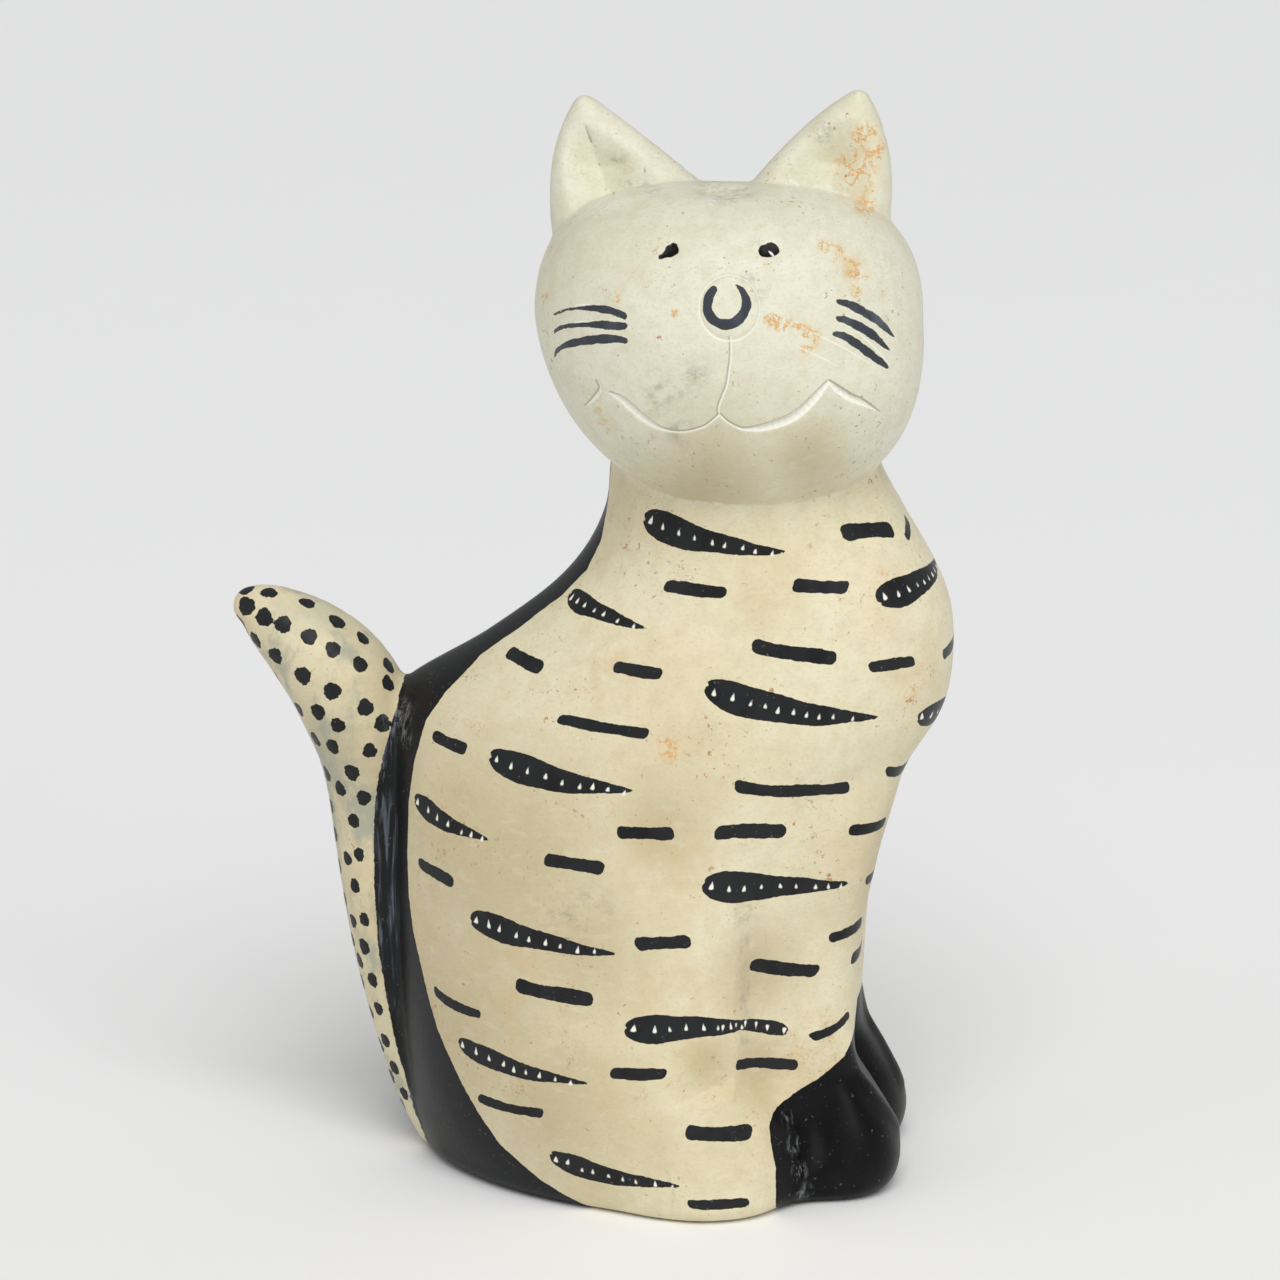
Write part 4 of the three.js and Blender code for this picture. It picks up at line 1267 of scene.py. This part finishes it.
def soapstone_material(stone, paint):
    """Soapstone rubbed with fine wet sandpaper and wax: a soft satin cream with tan clouds, rust, thin
    grey veins and tiny pits, under matt black dye that is scuffed in the creases, where its bluish
    streaks are partly a painted sheen. Painted shade darkens hollows, folds, the chin and the steep
    walls of cuts, and the pale faces of cuts are partly painted highlights."""
    material = bpy.data.materials.new("waxed_soapstone_with_black_dye")
    material.use_nodes = True
    tree = material.node_tree
    tree.nodes.clear()
    place = add_node(tree, "ShaderNodeTexCoord").outputs["Object"]

    shares = {}
    for number, (name, pattern) in enumerate(PATTERNS.items()):
        shift = (0.31 * number, 0.17 * number, -0.23 * number)
        moved = add_node(tree, "ShaderNodeMapping", None, {
            "Vector": place, "Location": shift, "Scale": pattern.squeeze})
        noise = add_node(tree, "ShaderNodeTexNoise", None, {
            "Vector": moved.outputs["Vector"], "Scale": per_metre(pattern.size), "Detail": pattern.detail,
            "Roughness": pattern.harsh}).outputs["Fac"]
        if pattern.line:
            # Grows from 0 to a half as the noise nears its middle value, from either side.
            noise = add_node(tree, "ShaderNodeMath", {"operation": "PINGPONG"}, {
                0: noise, 1: 0.5}).outputs[0]
        shares[name] = add_node(tree, "ShaderNodeMapRange", {"interpolation_type": "SMOOTHSTEP"}, {
            "Value": noise, "From Min": pattern.none, "From Max": pattern.full, "To Max": pattern.share,
        }).outputs["Result"]
    for name, (none, full) in CARRIED.items():
        carried = add_node(tree, "ShaderNodeAttribute", {"attribute_name": name}).outputs["Fac"]
        if name == "ink":
            # The brushed edge wavers by about 0.1 mm.
            carried = add_node(tree, "ShaderNodeMath", {"operation": "MULTIPLY_ADD"}, {
                0: shares["waver"], 1: 0.14, 2: carried}).outputs[0]
        shares[name] = add_node(tree, "ShaderNodeMapRange", None, {
            "Value": carried, "From Min": none, "From Max": full}).outputs["Result"]
    for name, parts in PRODUCTS.items():
        shares[name] = shares[parts[0]]
        for part in parts[1:]:
            shares[name] = add_node(tree, "ShaderNodeMath", {"operation": "MULTIPLY"}, {
                0: shares[name], 1: shares[part]}).outputs[0]

    colour = tuple(stone.cream)
    for name, over in (
        ("clouds", tuple(stone.tan)), ("warmth", linear("#E2C9A2")), ("tail_cool", linear("#C3C4B0")),
        # The darker tone at the end of this line is painted shade, with a darker tone of the stone on the
        # tail.
        ("head", tuple(stone.head)), ("head_clouds", linear("#D9D3B4")), ("shade_and_tone", linear("#B8A67E")),
        # The washed stain at the start of this line is partly painted shade on the body.
        ("stained_and_shaded", linear("#D3B98A")), ("mottle", linear("#C3AE82")), ("fibres", linear("#B9A57C")),
        ("smears", linear("#EAE4CC")), ("hairline", linear("#EFEAD6")), ("veins", linear("#9F9A84")),
        # The grey patches on this line are partly painted shade in hollows and folds.
        ("marbled", linear("#A3A797")), ("greyed_and_shaded", linear("#9F9B86")), ("grey_veins", linear("#6C6D63")),
        ("rust_wash", linear("#DFC795")), ("rust_flecks", linear("#DBA154")),
        ("specks", linear("#B0764C")), ("dense_specks", linear("#A8684A")), ("pits", linear("#75694F")),
        # The strokes' lighter black, given in part to the band as painted light.
        ("chalky", linear("#EFEDE2")), ("ink", tuple(paint.black)), ("stroke_black_and_band_light", linear("#262728")),
        ("brushed", linear("#141415")), ("slate_ink", linear("#3E4248")),
        # The bluish grey streaks on the band by the crease are partly painted sheen and partly scuffs.
        ("slate_thin", linear("#666D75")), ("sheen_and_scuff_streaks", linear("#646B75")),
        # At the end of this line: painted shade and grime on the steep walls of cuts and in folds and
        # grooves.
        ("worn", linear("#7A7C7E")), ("dusty", linear("#6F6F6A")), ("shade_and_grime", linear("#A09980")),
        # Pale cut stone and scratches, partly a painted highlight on the upward faces of cuts and the
        # nose's rim.
        ("pale", linear("#F5F3E6")),
    ):
        colour = add_node(tree, "ShaderNodeMix", {"data_type": "RGBA"}, {
            0: shares[name], 6: colour, 7: over}).outputs[2]
    rough = 0.4
    for name, value in (("mottle", 0.5), ("greyed_and_shaded", 0.6), ("chalky", 0.8), ("ink", 0.36), ("satin", 0.32),
                        ("sheen_and_scuff_streaks", 0.6), ("dusty", 0.8), ("pale", 0.85)):
        rough = add_node(tree, "ShaderNodeMix", None, {0: shares[name], 2: rough, 3: value}).outputs[0]
    relief = 0.0
    for name, weight in (("mottle", 0.5), ("fibres", -0.5), ("smears", -0.4), ("pits", -0.8),
                         ("ink", 0.5), ("streaks", -0.3), ("scuffs", 0.2)):
        relief = add_node(tree, "ShaderNodeMath", {"operation": "MULTIPLY_ADD"}, {
            0: shares[name], 1: weight, 2: relief}).outputs[0]
    bump = add_node(tree, "ShaderNodeBump", None, {
        "Height": relief, "Distance": 0.06 * MM, "Strength": 0.5}).outputs["Normal"]
    # Talc has an IOR of about 1.55; the thin, dry wax over it dulls that to about 1.42.
    surface = add_node(tree, "ShaderNodeBsdfPrincipled", None, {
        "Base Color": colour, "Roughness": rough, "IOR": 1.42, "Specular IOR Level": 0.22,
        "Normal": bump})
    add_node(tree, "ShaderNodeOutputMaterial", None, {"Surface": surface.outputs["BSDF"]})
    return material


def floor_material(colour):
    """Matt painted board, plain and pale."""
    material = bpy.data.materials.new("matt_white_board")
    material.use_nodes = True
    tree = material.node_tree
    tree.nodes.clear()
    place = add_node(tree, "ShaderNodeTexCoord").outputs["Object"]
    grain = add_node(tree, "ShaderNodeTexNoise", None, {"Vector": place, "Scale": per_metre(40)})
    rough = add_node(tree, "ShaderNodeMapRange", None, {
        "Value": grain.outputs["Fac"], "To Min": 0.8, "To Max": 0.9})
    surface = add_node(tree, "ShaderNodeBsdfPrincipled", None, {
        "Base Color": colour, "Roughness": rough.outputs["Result"],
    })
    add_node(tree, "ShaderNodeOutputMaterial", None, {"Surface": surface.outputs["BSDF"]})
    return material


# The stage.

# Lamps: name, kind, place in metres, angle in radians or diameter in metres, and strength for each
# unit of the overhead light's.
LAMPS = (
    ("overhead_softbox", "SUN", (0.12, -0.6, 0.79), 0.7, 1.0),
    ("right_softbox", "AREA", (1.15, -1.0, 0.75), 0.9, 2.0),
    ("left_softbox", "AREA", (-1.3, -0.9, 0.8), 0.9, 1.0),
)
DAYLIGHT_STRENGTH = 0.41
CAMERA_LENS = 156.9
# The floor is a round sheet with a small hole under the cat. Its radii are in metres.
FLOOR_RADII = (0.02, 4)
FLOOR_RINGS = 12
FLOOR_SPOKES = 64


# The add-on.

def add_object(name, points, faces):
    """Adds a smooth mesh object at the origin from points in metres."""
    mesh = bpy.data.meshes.new(name)
    mesh.from_pydata(points.tolist(), [], faces.tolist())
    mesh.polygons.foreach_set("use_smooth", np.ones(len(mesh.polygons), bool))
    mesh.update()
    item = bpy.data.objects.new(name, mesh)
    bpy.context.scene.collection.objects.link(item)
    return item


class CatStone(bpy.types.PropertyGroup):
    """The carved stone."""
    spacing: bpy.props.FloatProperty(
        name="Mesh spacing", description="Distance between points on plain parts of the surface",
        default=1.5 * MM, min=0.5 * MM, max=4 * MM, unit="LENGTH", precision=5)
    cut_share: bpy.props.FloatProperty(
        name="Cut depth", description="Depth of the carved lines, as a share of the real depth",
        default=1.0, min=0.0, max=2.0, subtype="FACTOR")
    cream: bpy.props.FloatVectorProperty(
        name="Cream", description="Main colour of the body's stone",
        subtype="COLOR", size=4, min=0, max=1, default=linear("#E8E0C1"))
    tan: bpy.props.FloatVectorProperty(
        name="Tan", description="Colour of the darker clouds in the body's stone",
        subtype="COLOR", size=4, min=0, max=1, default=linear("#D3BF90"))
    head: bpy.props.FloatVectorProperty(
        name="Head", description="Colour of the paler stone of the head",
        subtype="COLOR", size=4, min=0, max=1, default=linear("#E6E5D0"))


class CatPaint(bpy.types.PropertyGroup):
    """The black dye."""
    black: bpy.props.FloatVectorProperty(
        name="Black", description="Colour of the dye",
        subtype="COLOR", size=4, min=0, max=1, default=linear("#08080A"))


class CatStage(bpy.types.PropertyGroup):
    """The floor, lights and camera."""
    floor: bpy.props.FloatVectorProperty(
        name="Floor", description="Colour of the floor",
        subtype="COLOR", size=4, min=0, max=1, default=linear("#FAFAF9"))
    light: bpy.props.FloatProperty(
        name="Light", description="Brightness of the overhead light; the others follow it",
        default=1.66, min=0.0, max=20.0)
    distance: bpy.props.FloatProperty(
        name="Camera distance", description="Distance from the camera to the middle of the cat",
        default=DRAWN_FROM * MM, min=0.3, max=5.0, unit="LENGTH")


class CAT_OT_carve(bpy.types.Operator):
    """Carve the cat and paint it"""
    bl_idname = "soapstone_cat.carve"
    bl_label = "Carve and Paint Cat"

    def execute(self, context):
        stone, paint = context.scene.cat_stone, context.scene.cat_paint
        points, faces, finish = carve_cat(stone.spacing / MM, stone.cut_share)
        cat = add_object("carved_cat", points * MM, faces)
        for name, values in finish.items():
            carried = cat.data.attributes.new(name, "FLOAT", "POINT").data
            carried.foreach_set("value", values.astype(np.float32))
        cat.data.materials.append(soapstone_material(stone, paint))
        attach(cat, "root")
        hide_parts("soapstone_cat")
        return {"FINISHED"}


class CAT_OT_stage(bpy.types.Operator):
    """Set up the floor, the soft lights and the camera"""
    bl_idname = "soapstone_cat.stage"
    bl_label = "Set Up Stage"

    def execute(self, context):
        scene, stage = context.scene, context.scene.cat_stage
        turns = np.linspace(0, 2 * np.pi, FLOOR_SPOKES, endpoint=False)
        radius, turn = np.meshgrid(np.linspace(*FLOOR_RADII, FLOOR_RINGS), turns)
        rim = np.stack([radius * np.cos(turn), radius * np.sin(turn), 0 * radius], axis=-1)
        rows, columns = np.meshgrid(np.arange(FLOOR_SPOKES), np.arange(FLOOR_RINGS - 1), indexing="ij")
        first = rows * FLOOR_RINGS + columns
        after = (rows + 1) % FLOOR_SPOKES * FLOOR_RINGS + columns
        quads = np.stack([first, first + 1, after + 1, after], axis=-1).reshape(-1, 4)
        floor = add_object("floor", rim.reshape(-1, 3), quads)
        floor.data.materials.append(floor_material(tuple(stage.floor)))

        target = Vector(CAT_MIDDLE) * MM
        camera = bpy.data.objects.new("camera", bpy.data.cameras.new("camera"))
        camera.location = target + Vector(LOOK) * stage.distance
        camera.rotation_euler = Vector(LOOK).to_track_quat("Z", "Y").to_euler()
        camera.data.lens = CAMERA_LENS
        scene.collection.objects.link(camera)
        scene.camera = camera

        for name, kind, place, size, share in LAMPS:
            lamp = bpy.data.lights.new(name, kind)
            if kind == "SUN":
                lamp.angle = size
            else:
                lamp.shape, lamp.size = "DISK", size
            lamp.energy = stage.light * share
            item = bpy.data.objects.new(name, lamp)
            item.location = place
            item.rotation_euler = Vector(place).to_track_quat("Z", "Y").to_euler()
            scene.collection.objects.link(item)

        world = bpy.data.worlds.new("soft_daylight")
        world.use_nodes = True
        world.node_tree.nodes["Background"].inputs["Color"].default_value = linear("#F4F5F7")
        world.node_tree.nodes["Background"].inputs["Strength"].default_value = DAYLIGHT_STRENGTH
        scene.world = world
        scene.view_settings.view_transform = "Standard"
        return {"FINISHED"}


class CAT_PT_panel(bpy.types.Panel):
    """Sidebar panel that lists the cat's and the stage's settings"""
    bl_label = "Soapstone Cat"
    bl_space_type = "VIEW_3D"
    bl_region_type = "UI"
    bl_category = "Soapstone Cat"

    def draw(self, context):
        layout = self.layout
        for group, names in (
            (context.scene.cat_stone, ("spacing", "cut_share", "cream", "tan", "head")),
            (context.scene.cat_paint, ("black",)),
        ):
            for name in names:
                layout.prop(group, name)
        layout.operator(CAT_OT_carve.bl_idname)
        for name in ("floor", "light", "distance"):
            layout.prop(context.scene.cat_stage, name)
        layout.operator(CAT_OT_stage.bl_idname)


CLASSES = (CatStone, CatPaint, CatStage, CAT_OT_carve, CAT_OT_stage, CAT_PT_panel)


def register():
    """Registers the classes and gives every scene the three groups of settings."""
    for item in CLASSES:
        bpy.utils.register_class(item)
    bpy.types.Scene.cat_stone = bpy.props.PointerProperty(type=CatStone)
    bpy.types.Scene.cat_paint = bpy.props.PointerProperty(type=CatPaint)
    bpy.types.Scene.cat_stage = bpy.props.PointerProperty(type=CatStage)


def unregister():
    """Takes the groups of settings away and unregisters the classes."""
    for name in ("cat_stone", "cat_paint", "cat_stage"):
        delattr(bpy.types.Scene, name)
    for item in reversed(CLASSES):
        bpy.utils.unregister_class(item)


def main():
    """Builds the stage and the cat."""
    register()
    bpy.ops.soapstone_cat.stage()
    bpy.ops.soapstone_cat.carve()


if __name__ == "__main__":
    main()
